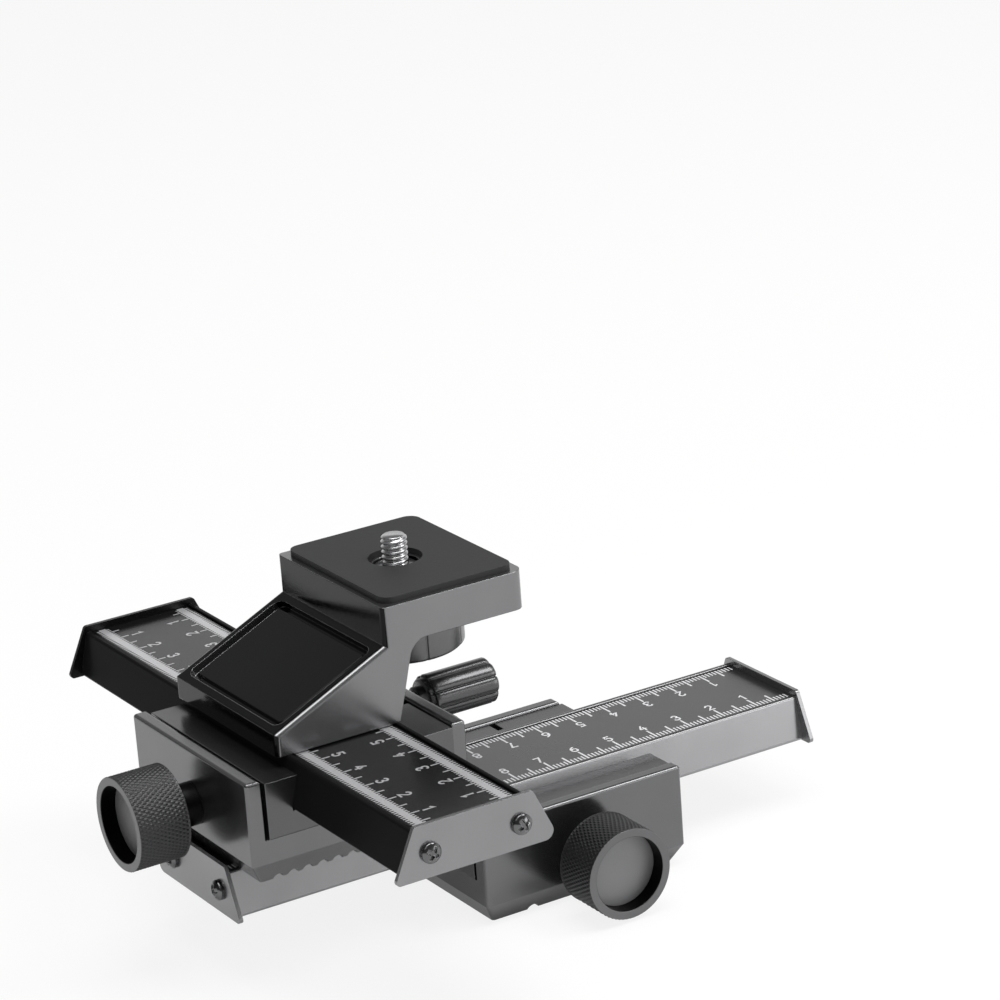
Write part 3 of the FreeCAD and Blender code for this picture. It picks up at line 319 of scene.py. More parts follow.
# ---------------------------------------------------------------- camera screw and its wheel
CAMERA_THREAD_R, CAMERA_PITCH, CAMERA_THREAD_DEPTH = 3.175, 1.27, 0.6
CAMERA_SHANK_R, CAMERA_SHANK_START = 2.8, 10.0
CAMERA_THREAD_START, CAMERA_THREAD_TOP, CAMERA_TIP = 28.1, 35.5, 0.6
WHEEL_R, WHEEL_BOTTOM, WHEEL_TOP, WHEEL_EDGE = 15.0, 8.3, 18.6, 0.6
WHEEL_NOTCHES, WHEEL_TURN = 8, math.radians(-6.0)
WHEEL_NOTCH_HALF, WHEEL_NOTCH_DEPTH = 0.35, 0.2
WHEEL_NOTCH_REACH = 1.3         # half widths on each side of a notch where the columns stand close


def camera_wheel():
    """Disc with an upright rim and narrow upright notches: r = R - d q(t), q a half wave over each notch's
    width, with the columns close together there."""
    half = WHEEL_NOTCH_HALF / WHEEL_R
    reach = WHEEL_NOTCH_REACH * half
    near = np.linspace(-reach, reach, 13)
    local = np.concatenate([near, np.linspace(reach, TAU / WHEEL_NOTCHES - reach, 14)[1:-1]])
    turn = (WHEEL_TURN + np.arange(WHEEL_NOTCHES)[:, None] * TAU / WHEEL_NOTCHES + local[None, :]).ravel()
    dip = np.tile(np.cos(np.clip(local / half, -1, 1) * math.pi / 2), WHEEL_NOTCHES)
    e, top = WHEEL_EDGE, WHEEL_TOP - WHEEL_BOTTOM
    section = [(3.0, 0.0), (6.0, 0.0), (6.4, 0.4), (WHEEL_R - e - 2.6, 0.4), (WHEEL_R - e - 2.2, 0.0),
               (WHEEL_R - e, 0.0), (WHEEL_R - 0.06, e - 0.06), (WHEEL_R, e + 0.1)]
    section += rounded_top(WHEEL_R, top, e) + [(8.0, top), (3.0, top)]
    radius, height = spread(section, len(turn))
    return turned_body(radius - WHEEL_NOTCH_DEPTH * dip * smoothstep(WHEEL_R - 1.6, WHEEL_R - 0.4, radius),
                       height, turn)


def make_camera_fixing():
    """The camera screw and the wheel that turns it."""
    points, faces = camera_wheel()
    place = np.array([*CAMERA_SCREW, RAIL_TOP + WHEEL_BOTTOM])
    wheel = new_object("camera_wheel", (points + place, faces), "camera_fixing", "thumbwheel")
    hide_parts("camera_thumbwheel")
    points, faces = threaded_rod(CAMERA_THREAD_R, CAMERA_THREAD_DEPTH, CAMERA_PITCH,
                                 CAMERA_THREAD_TOP - CAMERA_THREAD_START, CAMERA_TIP,
                                 (CAMERA_SHANK_R, CAMERA_THREAD_START - CAMERA_SHANK_START))
    place = np.array([*CAMERA_SCREW, RAIL_TOP + CAMERA_THREAD_START])
    screw = new_object("camera_thread", (points + place, faces), "camera_fixing", "camera_screw")
    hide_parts("camera_screw")


# ---------------------------------------------------------------- screws
HEAD_R, HEAD_HEIGHT, HEAD_DOME = 2.45, 1.9, 1.1
CROSS_REACH, CROSS_HALF_WIDTH, CROSS_DEPTH = 1.45, 0.34, 1.0
CROSS_TURN, CROSS_TURN_STEP = 0.35, 1.1       # how far each cross is turned, in radians
PLATE_FACE = 81.0
PLATE_SCREW_U, PLATE_SCREW_Z = 11.6, 22.2
# head radius and height, shank radius and length, hexagon across its flats and its depth
GIB_SCREW = (2.75, 3.0, 1.5, 11.7, 2.5, 1.6)
BRACKET_SCREW = (3.4, 2.6, 2.0, 14.0, 3.0, 1.5)
GIB_SCREW_S, GIB_SCREW_U, GIB_SCREW_Z = 18.0, 15.0, 0.4
BRACKET_SCREW_X, BRACKET_SCREW_Y, BRACKET_SCREW_DROP = 15.0, 9.0, 10.7


def cross_head():
    """Dome z = h - c r^2 with a cross recess: two crossed bars whose depth grows towards the middle."""
    columns = 96
    radii = np.concatenate([np.linspace(0.05, HEAD_R - 0.12, 30), [HEAD_R - 0.03, HEAD_R]])[::-1]
    radius = np.repeat(radii[:, None], columns, axis=1)
    t = np.arange(columns) * TAU / columns
    a, b = np.abs(radius * np.cos(t)), np.abs(radius * np.sin(t))

    def bar(across, lengthwise):
        return ((1 - smoothstep(0, 0.14, across - CROSS_HALF_WIDTH))
                * (1 - smoothstep(0, 0.2, lengthwise - CROSS_REACH)))

    dome = HEAD_HEIGHT - HEAD_DOME * (radius / HEAD_R) ** 2
    dome[:2] -= np.array([[0.16], [0.04]])
    depth = np.clip(CROSS_DEPTH * (1 - 0.45 * radius / CROSS_REACH), 0.15, None)
    top = dome - np.maximum(bar(a, b), bar(b, a)) * depth
    seat_r, seat_h = spread([(HEAD_R * 0.5, 0.0), (HEAD_R, 0.0)], columns)
    return turned_body(np.vstack([seat_r, radius]), np.vstack([seat_h, top]))


def socket_screw(head_r, head_height, shank_r, shank_length, across, depth):
    """Cap screw from its shank's end to its head's top at zero, with a hexagon recess whose wall stands at
    r = a / (2 cos x), x the turn from the middle of each flat."""
    columns, e = 72, 0.25
    t = np.arange(columns) * TAU / columns
    hexagon = across / 2 / np.cos((t + math.pi / 6) % (math.pi / 3) - math.pi / 6)
    end = -head_height - shank_length
    radius, height = spread([(shank_r - 0.3, end), (shank_r, end + 0.3), (shank_r, -head_height),
                             (head_r, -head_height), (head_r, -e), (head_r - e, 0.0),
                             (1.0, 0.0), (1.0, -0.1), (1.0, -depth)], columns)
    radius[-3], radius[-2:] = hexagon + 0.12, hexagon
    return turned_body(radius, height)


def make_screws():
    """Pan heads on the end plates, and the cap screws of the gibs and the bracket."""
    head, head_faces = cross_head()
    cap, cap_faces = socket_screw(*GIB_SCREW)
    for stage, (to_part, shift, carriage_body) in STAGES.items():
        heads = []
        for i, (end, side) in enumerate(CORNERS):
            angle = CROSS_TURN + CROSS_TURN_STEP * i
            spin = np.array([[math.cos(angle), math.sin(angle), 0], [-math.sin(angle), math.cos(angle), 0],
                             [0, 0, 1]])
            place = (end * PLATE_FACE + shift, side * PLATE_SCREW_U, PLATE_SCREW_Z)
            heads.append((to_part(along(head @ spin, (end, 0, 0), place)), head_faces))
        screws = new_object(stage + "_cross_head_screws", joined(heads), stage + "_slide", "plated_screw")
        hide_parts(stage + "_end_plate_screws")
        caps = [(to_part(along(cap, (0, 0, -1), (a * GIB_SCREW_S, b * GIB_SCREW_U, GIB_SCREW_Z))), cap_faces)
                for a, b in CORNERS]
        screws = new_object(stage + "_socket_head_screws", joined(caps), carriage_body, "screw", smooth=False)
        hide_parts(stage + "_gib_screws")
    cap, cap_faces = socket_screw(*BRACKET_SCREW)
    caps = [(along(cap, (0, 0, -1), (a * BRACKET_SCREW_X + BRACKET_X, b * BRACKET_SCREW_Y + UPPER_Y,
                                     RAIL_TOP - BRACKET_SCREW_DROP)), cap_faces) for a, b in CORNERS]
    screws = new_object("bracket_socket_head_screws", joined(caps), "upper_slide", "screw", smooth=False)
    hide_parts("bracket_screws")


# ---------------------------------------------------------------- ruler print
PRINT_THICKNESS = 0.02
MARK_STEP = 1.0
STROKE_DROP = 0.25              # how much lower a numeral's second stroke lies, as a share of the print
STROKE_END = 0.3                # how far a stroke runs past both its ends, as a share of its width
END_CLEARANCE = 0.6             # marks keep this far from the rail's ends
MIDDLE_MARGIN = 0.2             # one end's marks stop this short of the middle, the other's this far past it
BAND_INSET = 0.3                # bands stop this short of the rail's ends
BAND_SHARE = 0.9                # a band's thickness as a share of a mark's
RULERS = {
    # distances from the rail's axis: each kind of mark runs from the first to the second; far_lead is how far
    # the far end's zero lies beyond the rail's end
    "lower": {"mm": (13.15, 10.95), "half": (13.15, 8.75), "cm": (13.15, 8.2), "mm_width": 0.4,
              "width": 0.5, "bands": [], "digit": 3.2, "digit_foot": 7.75, "stroke": 0.48, "far_lead": 0.0},
    "upper": {"mm": (12.7, 9.3), "half": (12.7, 7.6), "cm": (12.7, 7.4), "mm_width": 0.5,
              "width": 0.45, "bands": [(11.8, 10.0)], "digit": 3.3, "digit_foot": 6.85,
              "stroke": 0.55, "far_lead": 1.75},
}


def curved(centre, radii, start, stop, steps=14):
    """Points c + (a cos t, b sin t) for t from start to stop in degrees."""
    t = np.radians(np.linspace(start, stop, steps))
    return np.stack([centre[0] + radii[0] * np.cos(t), centre[1] + radii[1] * np.sin(t)], axis=-1)


# strokes of each numeral on a height of one
NUMERALS = {
    1: [[(0.12, 0.78), (0.38, 1), (0.38, 0)]],
    2: [np.vstack([curved((0.3, 0.72), (0.27, 0.28), 170, -20), [(0.04, 0), (0.6, 0)]])],
    3: [curved((0.28, 0.76), (0.24, 0.24), 160, -90), curved((0.28, 0.27), (0.28, 0.27), 90, -160)],
    4: [[(0.40, 1), (0.03, 0.33), (0.62, 0.33)], [(0.45, 0.62), (0.45, 0)]],
    5: [np.vstack([[(0.55, 1), (0.13, 1), (0.08, 0.56)], curved((0.28, 0.31), (0.28, 0.31), 130, -150)])],
    6: [curved((0.3, 0.3), (0.28, 0.3), 0, 360, 20), curved((0.62, 0.36), (0.6, 0.64), 105, 175)],
    7: [[(0.03, 1), (0.58, 1), (0.2, 0)]],
    8: [curved((0.3, 0.77), (0.22, 0.23), 0, 360, 20), curved((0.3, 0.28), (0.28, 0.28), 0, 360, 20)],
}


def stroke_bar(path, width, thickness):
    """Flat bar along a path: p +- w/2 m, m the mitred normal of the two runs that meet there."""
    path = np.array(path, float)
    runs = np.diff(path, axis=0)
    runs /= np.linalg.norm(runs, axis=1, keepdims=True)
    before, after = np.vstack([runs[:1], runs]), np.vstack([runs, runs[-1:]])
    if np.allclose(path[0], path[-1]):
        before[0], after[-1] = runs[-1], runs[0]
    else:
        path[0] -= runs[0] * width * STROKE_END
        path[-1] += runs[-1] * width * STROKE_END
    mean = before + after
    mean /= np.linalg.norm(mean, axis=1, keepdims=True)
    lean = np.clip((mean * before).sum(axis=1, keepdims=True), 0.55, 1)
    normal = np.stack([-mean[:, 1], mean[:, 0]], axis=-1) / lean * width / 2
    sides = np.stack([path + normal, path + normal, path - normal, path - normal], axis=1)
    lift = np.broadcast_to(np.array([0, 1, 1, 0])[None, :, None] * thickness, (len(path), 4, 1))
    last = 4 * (len(path) - 1)
    faces = band_faces(len(path), 4) + [[3, 2, 1, 0], [last, last + 1, last + 2, last + 3]]
    return np.concatenate([sides, lift], axis=-1).reshape(-1, 3), faces


def numeral(number, height, width):
    """A numeral's strokes, centred on its width with its foot at zero; where they cross, the first lies
    a little higher."""
    scale = height - width
    points, faces = joined([stroke_bar(np.array(path) * scale + [0, width / 2], width,
                                       PRINT_THICKNESS * (1 - STROKE_DROP * i))
                            for i, path in enumerate(NUMERALS[number])])
    points[:, 0] -= (points[:, 0].min() + points[:, 0].max()) / 2
    return points, faces


def slab_boxes(centres, halves):
    """Closed boxes, one per centre and half size, all built in one array."""
    signs = np.array([[x, y, z] for z in (-1, 1) for y in (-1, 1) for x in (-1, 1)])
    verts = centres[:, None, :] + halves[:, None, :] * signs[None]
    quads = np.array([[0, 2, 3, 1], [4, 5, 7, 6], [0, 1, 5, 4], [2, 6, 7, 3], [0, 4, 6, 2], [1, 3, 7, 5]])
    faces = (np.arange(len(centres))[:, None, None] * 8 + quads[None]).reshape(-1, 4)
    return verts.reshape(-1, 3), faces.tolist()


def ruler_marks(style):
    """Marks at each step from both ends towards the middle on both edges, and the bands along each edge, a
    little thinner than the marks."""
    centres, halves = [], []
    z, thin = SCALE_TOP + PRINT_THICKNESS / 2, PRINT_THICKNESS / 2
    for end, lead in ((-1, style["far_lead"]), (1, 0.0)):
        distance = np.arange(0.0, HALF_RAIL + lead - MIDDLE_MARGIN * end, MARK_STEP)
        distance = distance[distance > lead + END_CLEARANCE]
        whole = np.isclose(distance % 10, 0)
        half = np.isclose(distance % 5, 0) & ~whole
        pick = [whole, half]
        outer, inner = (np.select(pick, [style["cm"][i], style["half"][i]], style["mm"][i]) for i in (0, 1))
        wide = np.where(whole | half, style["width"], style["mm_width"]) / 2
        s = end * (HALF_RAIL - distance + lead)
        for side in (-1, 1):
            centres.append(np.stack([s, side * (outer + inner) / 2, np.full_like(s, z)], axis=-1))
            halves.append(np.stack([wide, (outer - inner) / 2, np.full_like(s, thin)], axis=-1))
    for side in (-1, 1):
        for outer, inner in style["bands"]:
            centres.append(np.array([[0, side * (outer + inner) / 2, z]]))
            halves.append(np.array([[HALF_RAIL - BAND_INSET, (outer - inner) / 2, thin * BAND_SHARE]]))
    return slab_boxes(np.vstack(centres), np.vstack(halves))


def make_rulers():
    """Each rail's print: marks, and numerals that count from both ends with their feet to their own edge."""
    for stage, (to_part, shift, _) in STAGES.items():
        style = RULERS[stage]
        shapes = [ruler_marks(style)]
        for number in range(1, 9):
            figure, faces = numeral(number, style["digit"], style["stroke"])
            for side in (-1, 1):
                for end, lead in ((-1, style["far_lead"]), (1, 0.0)):
                    if number == 8 and end > 0:
                        continue
                    s = end * (HALF_RAIL + lead - 10.0 * number) - side * figure[:, 0]
                    u = side * (style["digit_foot"] - figure[:, 1])
                    shapes.append((np.stack([s, u, SCALE_TOP + figure[:, 2]], axis=-1), faces))
        points, faces = joined(shapes)
        new_object(stage + "_ruler_print", (to_part(points + np.array([shift, 0, 0])), faces),
                   stage + "_slide", stage + "_scale", smooth=False)


make_drive_knobs()
make_locks()
make_camera_fixing()
make_screws()
make_rulers()


# ---------------------------------------------------------------- materials
def new_group(name, inputs, outputs):
    """Shader node group with named sockets: (group, its input node, its output node)."""
    group = bpy.data.node_groups.new(name, "ShaderNodeTree")
    for label, kind, default in inputs:
        socket = group.interface.new_socket(label, in_out="INPUT", socket_type=kind)
        socket.default_value = default
    for label, kind in outputs:
        group.interface.new_socket(label, in_out="OUTPUT", socket_type=kind)
    return group, group.nodes.new("NodeGroupInput"), group.nodes.new("NodeGroupOutput")


def math_node(tree, operation, a, b, clamp=False):
    """A Math node fed by numbers or sockets; gives its output socket."""
    node = tree.nodes.new("ShaderNodeMath")
    node.operation = operation
    node.use_clamp = clamp
    for socket, value in zip(node.inputs, (a, b)):
        if isinstance(value, (int, float)):
            socket.default_value = value
        else:
            tree.links.new(value, socket)
    return node.outputs[0]


def dot_node(tree, a, b):
    """Dot product of two vectors, the second a socket or plain numbers."""
    node = tree.nodes.new("ShaderNodeVectorMath")
    node.operation = "DOT_PRODUCT"
    tree.links.new(a, node.inputs[0])
    if isinstance(b, tuple):
        node.inputs[1].default_value = b
    else:
        tree.links.new(b, node.inputs[1])
    return node.outputs["Value"]


def ramp(tree, value, low, high, from_value=0.0, to_value=1.0):
    """Map Range from low..high to from_value..to_value, clamped."""
    node = tree.nodes.new("ShaderNodeMapRange")
    tree.links.new(value, node.inputs["Value"])
    limits = {"From Min": low, "From Max": high, "To Min": from_value, "To Max": to_value}
    for label, number in limits.items():
        node.inputs[label].default_value = number
    return node.outputs["Result"]


def noise(tree, vector, scale, detail=2.0):
    """Noise texture; its scale is a number or a socket."""
    node = tree.nodes.new("ShaderNodeTexNoise")
    tree.links.new(vector, node.inputs["Vector"])
    if isinstance(scale, (int, float)):
        node.inputs["Scale"].default_value = scale
    else:
        tree.links.new(scale, node.inputs["Scale"])
    node.inputs["Detail"].default_value = detail
    return node.outputs["Fac"]


def surface_group():
    """Blasted and anodised metal: fine grain for the bump, slow blotches for tone and roughness."""
    group, into, out = new_group("blasted_metal", [
        ("Vector", "NodeSocketVector", (0, 0, 0)), ("Grain Scale", "NodeSocketFloat", 9000.0),
        ("Blotch Scale", "NodeSocketFloat", 60.0), ("Tone Spread", "NodeSocketFloat", 0.12),
        ("Roughness", "NodeSocketFloat", 0.4), ("Roughness Spread", "NodeSocketFloat", 0.08)],
        [("Height", "NodeSocketFloat"), ("Tone", "NodeSocketFloat"), ("Roughness", "NodeSocketFloat")])
    grain = noise(group, into.outputs["Vector"], into.outputs["Grain Scale"], 1.0)
    blotch = noise(group, into.outputs["Vector"], into.outputs["Blotch Scale"], 4.0)
    centred = math_node(group, "SUBTRACT", blotch, 0.5)
    tone = math_node(group, "ADD", math_node(group, "MULTIPLY", centred, into.outputs["Tone Spread"]), 1.0)
    rough = math_node(group, "ADD",
                      math_node(group, "MULTIPLY", centred, into.outputs["Roughness Spread"]),
                      into.outputs["Roughness"])
    group.links.new(grain, out.inputs["Height"])
    group.links.new(tone, out.inputs["Tone"])
    group.links.new(rough, out.inputs["Roughness"])
    return group


def edge_group():
    """Mask of worn edges: how far a bevelled normal turns away from the face's own, broken up by noise."""
    group, into, out = new_group("edge_wear", [
        ("Vector", "NodeSocketVector", (0, 0, 0)), ("Radius", "NodeSocketFloat", 0.0003),
        ("Amount", "NodeSocketFloat", 1.0)],
        [("Mask", "NodeSocketFloat"), ("Normal", "NodeSocketVector")])
    bevel = group.nodes.new("ShaderNodeBevel")
    bevel.samples = 6
    group.links.new(into.outputs["Radius"], bevel.inputs["Radius"])
    geometry = group.nodes.new("ShaderNodeNewGeometry")
    alike = dot_node(group, bevel.outputs["Normal"], geometry.outputs["True Normal"])
    turned = math_node(group, "SUBTRACT", 1.0, alike)
    raised = ramp(group, turned, 0.02, 0.2)
    broken = ramp(group, noise(group, into.outputs["Vector"], 900.0, 3.0), 0.35, 0.65, 0.35, 1.0)
    mask = math_node(group, "MULTIPLY", math_node(group, "MULTIPLY", raised, broken),
                     into.outputs["Amount"], clamp=True)
    group.links.new(mask, out.inputs["Mask"])
    group.links.new(bevel.outputs["Normal"], out.inputs["Normal"])
    return group


BLASTED = surface_group()
EDGE = edge_group()


def principled(name):
    """Empty node material with its Principled shader: (material, tree, shader, object coordinates)."""
    material = bpy.data.materials.new(name)
    material.use_nodes = True
    tree = material.node_tree
    shader = tree.nodes["Principled BSDF"]
    place = tree.nodes.new("ShaderNodeTexCoord").outputs["Object"]
    return material, tree, shader, place


def place_group(tree, group, vector, **values):
    """A group's node fed by a vector, its named inputs set to plain numbers."""
    node = tree.nodes.new("ShaderNodeGroup")
    node.node_tree = group
    tree.links.new(vector, node.inputs["Vector"])
    for label, value in values.items():
        node.inputs[label.replace("_", " ")].default_value = value
    return node


def mix_colour(tree, factor, a, b):
    """Colour a where the factor is 0 and colour b where it is 1; each a colour or a socket."""
    node = tree.nodes.new("ShaderNodeMix")
    node.data_type = "RGBA"
    tree.links.new(factor, node.inputs["Factor"])
    for socket, value in ((node.inputs[6], a), (node.inputs[7], b)):
        if isinstance(value, tuple):
            socket.default_value = value + (1.0,)
        else:
            tree.links.new(value, socket)
    return node.outputs[2]


def grey(value, tint=(1.0, 1.0, 1.02)):
    """A grey of this level, tinted."""
    return tuple(value * t for t in tint)


def lit_normal(tree, shader, height, edge_normal, strength, distance):
    """Bump of a height on top of the softened edges' normal."""
    bump = tree.nodes.new("ShaderNodeBump")
    bump.inputs["Strength"].default_value = strength
    bump.inputs["Distance"].default_value = distance
    tree.links.new(height, bump.inputs["Height"])
    tree.links.new(edge_normal, bump.inputs["Normal"])
    tree.links.new(bump.outputs["Normal"], shader.inputs["Normal"])


def metal(name, tone, roughness, metallic=0.9, grain=9000.0, grain_height=0.00001, blotch=60.0,
          spread=0.25, rough_spread=0.06, wear=0.25, wear_tone=0.4, radius=0.0003, tint=(1.0, 1.0, 1.02),
          shaded_area=None, specular=0.5):
    """Metal with blasted grain, slow blotches, and brighter, softly rounded edges; an optional
    (mask function, tone, roughness) gives an area painted in a darker tone as painted shade, with its own
    roughness."""
    material, tree, shader, place = principled(name)
    skin = place_group(tree, BLASTED, place, Grain_Scale=grain, Blotch_Scale=blotch, Tone_Spread=spread,
                       Roughness=roughness, Roughness_Spread=rough_spread)
    edges = place_group(tree, EDGE, place, Radius=radius, Amount=wear)
    share = math_node(tree, "SUBTRACT", skin.outputs["Tone"], 0.5)
    colour = mix_colour(tree, share, grey(tone * 0.5, tint), grey(tone * 1.5, tint))
    rough = skin.outputs["Roughness"]
    # painted shade: the masked area takes a darker tone and a roughness of its own
    if shaded_area:
        mask_of, shade_tone, area_rough = shaded_area
        mask = mask_of(tree)
        colour = mix_colour(tree, mask, colour, grey(shade_tone, tint))
        keep = math_node(tree, "SUBTRACT", 1.0, mask)
        rough = math_node(tree, "ADD", math_node(tree, "MULTIPLY", rough, keep),
                          math_node(tree, "MULTIPLY", mask, area_rough))
    colour = mix_colour(tree, edges.outputs["Mask"], colour, grey(wear_tone, tint))
    tree.links.new(colour, shader.inputs["Base Color"])
    tree.links.new(rough, shader.inputs["Roughness"])
    shader.inputs["Metallic"].default_value = metallic
    shader.inputs["Specular IOR Level"].default_value = specular
    lit_normal(tree, shader, skin.outputs["Height"], edges.outputs["Normal"], 0.5, grain_height)
    return material


def rubber(name, tone, roughness, grain, grain_height):
    """Moulded rubber: dark body, faint texture, softened edges."""
    material, tree, shader, place = principled(name)
    skin = place_group(tree, BLASTED, place, Grain_Scale=grain, Blotch_Scale=200.0, Tone_Spread=0.3,
                       Roughness=roughness, Roughness_Spread=0.05)
    edges = place_group(tree, EDGE, place, Radius=0.0002, Amount=0.2)
    share = math_node(tree, "SUBTRACT", skin.outputs["Tone"], 0.5)
    base = mix_colour(tree, share, grey(tone * 0.6), grey(tone * 1.4))
    colour = mix_colour(tree, edges.outputs["Mask"], base, grey(tone * 3))
    tree.links.new(colour, shader.inputs["Base Color"])
    tree.links.new(skin.outputs["Roughness"], shader.inputs["Roughness"])
    lit_normal(tree, shader, skin.outputs["Height"], edges.outputs["Normal"], 0.4, grain_height)
    return material


def print_ink(name, tone, metallic, roughness):
    """Screen-printed or bared marks: pale, a little uneven where they are thin."""
    material, tree, shader, place = principled(name)
    thin = ramp(tree, noise(tree, place, 4000.0, 2.0), 0.3, 0.7)
    tree.links.new(mix_colour(tree, thin, grey(tone * 0.8), grey(tone)), shader.inputs["Base Color"])
    shader.inputs["Roughness"].default_value = roughness
    shader.inputs["Metallic"].default_value = metallic
    return material


def front_mask(tree):
    """1 on the bracket's faces that lean towards the drive knob's side, and 0 on the others; these are
    painted near black as shade, and made glossier.
    """
    geometry = tree.nodes.new("ShaderNodeNewGeometry")
    return ramp(tree, dot_node(tree, geometry.outputs["True Normal"], (0.0, -1.0, 0.0)), 0.36, 0.41)


def top_mask(tree):
    """1 on faces that look up, and 0 on the others; the lower rail's tops are painted darker there as shade.
    """
    geometry = tree.nodes.new("ShaderNodeNewGeometry")
    return ramp(tree, dot_node(tree, geometry.outputs["True Normal"], (0.0, 0.0, 1.0)), 0.6, 0.8)


def knob_shade_mask(tree):
    """Painted shade: 0 on the knob's front face, part way on its knurled rim and 1 in its recess and on its
    back, where the knob is drawn towards black.
    """
    light = tree.nodes.new("ShaderNodeAttribute")
    light.attribute_name = "face_unshaded"
    return math_node(tree, "SUBTRACT", 1.0, light.outputs["Fac"])


MATERIALS = {
    "carriage": metal("carriage_black", 0.16, 0.2, wear=0.18),
    "gib": metal("gib_black", 0.12, 0.22),
    # its tops are painted darker as shade
    "lower_rail": metal("lower_rail_anodised", 0.29, 0.24, wear=0.05, radius=0.00012,
                        grain_height=0.000002, shaded_area=(top_mask, 0.12, 0.28)),
    "upper_rail": metal("upper_rail_anodised", 0.008, 0.26, metallic=0.0, specular=0.02, wear=0.8,
                        radius=0.0002),
    "lower_scale": metal("lower_scale_bed", 0.13, 0.28, wear=0.1),
    "upper_scale": metal("upper_scale_bed", 0.06, 0.24, wear=0.1),
    "end_plate": metal("end_plate_satin", 0.26, 0.26, wear=0.05, radius=0.00015),
    "screw": metal("screw_black", 0.14, 0.3),
    "plated_screw": metal("screw_nickel", 0.14, 0.12, metallic=1.0, wear=0.3, wear_tone=0.6, radius=0.0002,
                          grain_height=0.000002),
    "gear_steel": metal("gear_steel", 0.45, 0.3, metallic=1.0),
    "bronze": metal("bronze", 0.4, 0.35, metallic=1.0, tint=(1.0, 0.7, 0.35)),
    "wall_bush": metal("bush_black", 0.015, 0.3),
    # the knob's recess, back and knurl are painted darker as shade, the knurl also matte
    "drive_knob": metal("knob_grey", 0.15, 0.34, wear=0.1, radius=0.0001, shaded_area=(knob_shade_mask, 0.0, 0.5)),
    "knob_disc": metal("disc_grey", 0.22, 0.45, metallic=0.35),
    "lock_screw": metal("lock_screw_steel", 0.4, 0.3, metallic=1.0),
    "lock_knob": metal("lock_knob_gloss", 0.1, 0.24, metallic=0.8, grain=2500.0, grain_height=0.00002,
                       wear=0.1),
    "insert": metal("insert_brass", 0.55, 0.3, metallic=1.0, tint=(1.0, 0.78, 0.4)),
    # its faces towards the drive knob's side are painted near black as shade, with a glossier roughness
    "camera_bracket": metal("bracket_grey", 0.21, 0.26, grain=5000.0, blotch=40.0, wear=0.5,
                            shaded_area=(front_mask, 0.012, 0.1)),
    "bracket_panel": metal("panel_gloss", 0.004, 0.1, metallic=0.0, specular=0.22, wear=0.1, radius=0.0002,
                           grain_height=0.000001),
    "thumbwheel": metal("wheel_grey", 0.14, 0.3),
    "camera_screw": metal("camera_screw_steel", 0.5, 0.25, metallic=1.0, wear=0.0),
    "camera_pad": rubber("pad_rubber", 0.02, 0.7, grain=1500.0, grain_height=0.00006),
}
INKS = {
    "lower_ruler_print": print_ink("white_ink", 0.8, 0.0, 0.5),
    "upper_ruler_print": print_ink("bared_metal", 0.72, 0.6, 0.4),
}
# a node painted darker than the rest of its slot: painted shade on the end plate that stands in shadow
SHADED_NODES = {"upper_near_end_plate": metal("end_plate_painted_shade", 0.035, 0.26, wear=0.05, radius=0.00015)}


def dress():
    """One material per slot on every node and piece, but for the inks and the one node painted darker as
    shade.
    """
    slot_of = {row["node"]: row["material_slot"] for row in frame["record"]["subparts"]}
    for node, piece in nodes.items():
        piece.data.materials.clear()
        piece.data.materials.append(SHADED_NODES.get(node) or MATERIALS[slot_of[node]])
    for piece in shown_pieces():
        if "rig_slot" in piece:
            piece.data.materials.clear()
            piece.data.materials.append(INKS.get(piece.name) or MATERIALS[piece["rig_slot"]])


dress()

# ---------------------------------------------------------------- floor, light and camera
FLOOR_HALF = 3.0
FLOOR_Z = -0.00005
FLOOR_GLOW, FLOOR_MIRRORED = 0.85, 0.25
# level of the surround at the horizon ahead of and behind two upright axes, and overhead; the horizon's band
# ends between two heights of the direction
HORIZON = {
    (-0.85, 0.527, 0.0): (1.0, 0.15),
    (-0.527, -0.85, 0.0): (0.08, 0.9),
}
OVERHEAD = 0.2
BAND_TOP = (0.36, 0.62)


def make_floor():
    """Pale floor: white where it is seen or mirrored, over a diffuse share that keeps the soft shadow."""
    mesh = bpy.data.meshes.new("floor")
    corners = [(x * FLOOR_HALF, y * FLOOR_HALF, FLOOR_Z) for x, y in ((-1, -1), (1, -1), (1, 1), (-1, 1))]
    mesh.from_pydata(corners, [], [(0, 1, 2, 3)])
    floor = bpy.data.objects.new("floor", mesh)
    bpy.context.scene.collection.objects.link(floor)
    material, tree, shader, _ = principled("floor_white")
    shader.inputs["Base Color"].default_value = (0.92, 0.92, 0.92, 1.0)
    shader.inputs["Roughness"].default_value = 0.9
    shader.inputs["Specular IOR Level"].default_value = 0.0
    path = tree.nodes.new("ShaderNodeLightPath")
    seen = math_node(tree, "MAXIMUM", path.outputs["Is Camera Ray"], path.outputs["Is Transmission Ray"])
    glow = tree.nodes.new("ShaderNodeEmission")
    mixed = tree.nodes.new("ShaderNodeMixShader")
    share = math_node(tree, "MAXIMUM", math_node(tree, "MULTIPLY", seen, FLOOR_GLOW),
                      math_node(tree, "MULTIPLY", path.outputs["Is Glossy Ray"], FLOOR_MIRRORED))
    tree.links.new(share, mixed.inputs[0])
    tree.links.new(shader.outputs[0], mixed.inputs[1])
    tree.links.new(glow.outputs[0], mixed.inputs[2])
    tree.links.new(mixed.outputs[0], tree.nodes["Material Output"].inputs["Surface"])
    mesh.materials.append(material)


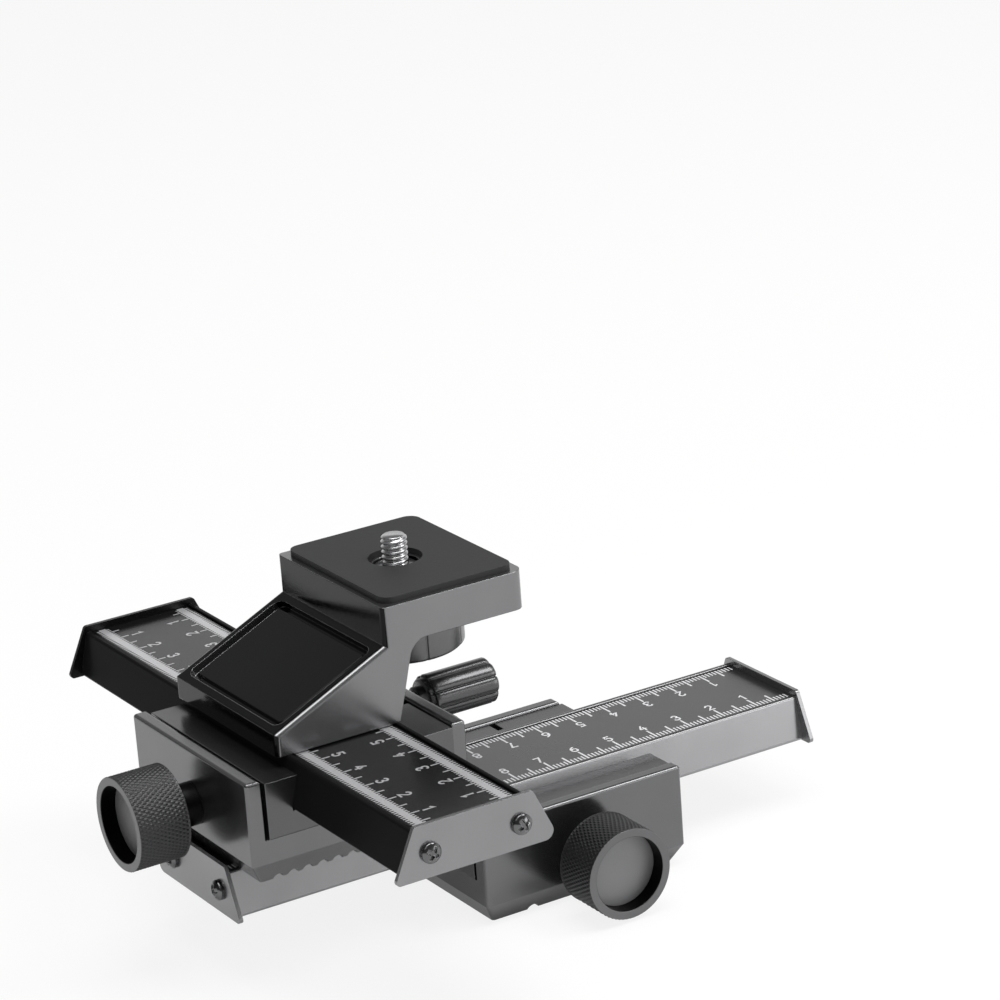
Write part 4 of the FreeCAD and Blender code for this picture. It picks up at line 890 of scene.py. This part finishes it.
def make_world():
    """Studio surround: at the horizon level = sum of L (d . a)^2 over two axes a, with L by the side that the
    direction d leans to, fading with height to the level overhead; white where the camera sees it."""
    world = bpy.data.worlds.new("studio")
    bpy.context.scene.world = world
    world.use_nodes = True
    tree = world.node_tree
    background = tree.nodes["Background"]
    background.inputs["Color"].default_value = (1.0, 1.0, 1.0, 1.0)
    direction = tree.nodes.new("ShaderNodeTexCoord").outputs["Generated"]
    sides = []
    for axis, (ahead, behind) in HORIZON.items():
        lean = dot_node(tree, direction, axis)
        level = ramp(tree, math_node(tree, "GREATER_THAN", lean, 0.0), 0.0, 1.0, behind, ahead)
        sides.append(math_node(tree, "MULTIPLY", math_node(tree, "MULTIPLY", lean, lean), level))
    band = ramp(tree, dot_node(tree, direction, (0.0, 0.0, 1.0)), *BAND_TOP, 1.0, 0.0)
    total = math_node(tree, "ADD", math_node(tree, "MULTIPLY", math_node(tree, "ADD", *sides), band),
                      math_node(tree, "MULTIPLY", math_node(tree, "SUBTRACT", 1.0, band), OVERHEAD))
    path = tree.nodes.new("ShaderNodeLightPath")
    seen = math_node(tree, "MAXIMUM", path.outputs["Is Camera Ray"], path.outputs["Is Transmission Ray"])
    tree.links.new(math_node(tree, "MAXIMUM", seen, total), background.inputs["Strength"])


LAMPS = {
    # place in metres, aim in metres, size in metres, watts
    "top_softbox": ((0.2, -0.05, 1.6), (0.0, 0.0, 0.05), 1.0, 16.0),
    "key_softbox": ((0.9, -0.9, 1.3), (0.0, -0.03, 0.04), 0.9, 2.5),
    "right_softbox": ((1.0, 0.9, 0.35), (0.0, -0.03, 0.04), 0.6, 3.0),
    "rim_softbox": ((0.45, 0.7, 1.1), (0.0, -0.03, 0.05), 0.5, 6.0),
}


def make_lamps():
    """Square softboxes, each turned from its place towards its aim."""
    for name, (place, target, size, watts) in LAMPS.items():
        data = bpy.data.lights.new(name, "AREA")
        data.size = size
        data.energy = watts
        lamp = bpy.data.objects.new(name, data)
        lamp.location = place
        lamp.rotation_euler = (Vector(target) - Vector(place)).to_track_quat("-Z", "Y").to_euler()
        bpy.context.scene.collection.objects.link(lamp)


CAMERA_AZIMUTH, CAMERA_ELEVATION, CAMERA_ROLL = 59.659, 18.987, -4.272
CAMERA_PLACE = (765.694, -447.611, 398.015)
CAMERA_SENSOR = 36.0
CAMERA_FOCAL = 3.94858          # focal length as a share of the sensor's width


def make_camera():
    """Camera on its measured place: right, up and back axes from azimuth, elevation and roll."""
    a, e, r = (math.radians(v) for v in (CAMERA_AZIMUTH, CAMERA_ELEVATION, CAMERA_ROLL))
    back = np.array([math.sin(a) * math.cos(e), -math.cos(a) * math.cos(e), math.sin(e)])
    right = np.array([math.cos(a), math.sin(a), 0])
    up = np.cross(back, right)
    right, up = math.cos(r) * right + math.sin(r) * up, -math.sin(r) * right + math.cos(r) * up
    data = bpy.data.cameras.new("camera")
    data.sensor_width = CAMERA_SENSOR
    data.lens = CAMERA_FOCAL * CAMERA_SENSOR
    data.clip_start, data.clip_end = 0.01, 50.0
    camera = bpy.data.objects.new("camera", data)
    matrix = np.eye(4)
    matrix[:3, 0], matrix[:3, 1], matrix[:3, 2] = right, up, back
    matrix[:3, 3] = np.array(CAMERA_PLACE) * MM
    camera.matrix_world = Matrix(matrix.tolist())
    bpy.context.scene.collection.objects.link(camera)
    bpy.context.scene.camera = camera


make_floor()
make_world()
make_lamps()
make_camera()
bpy.context.scene.view_settings.view_transform = "Standard"
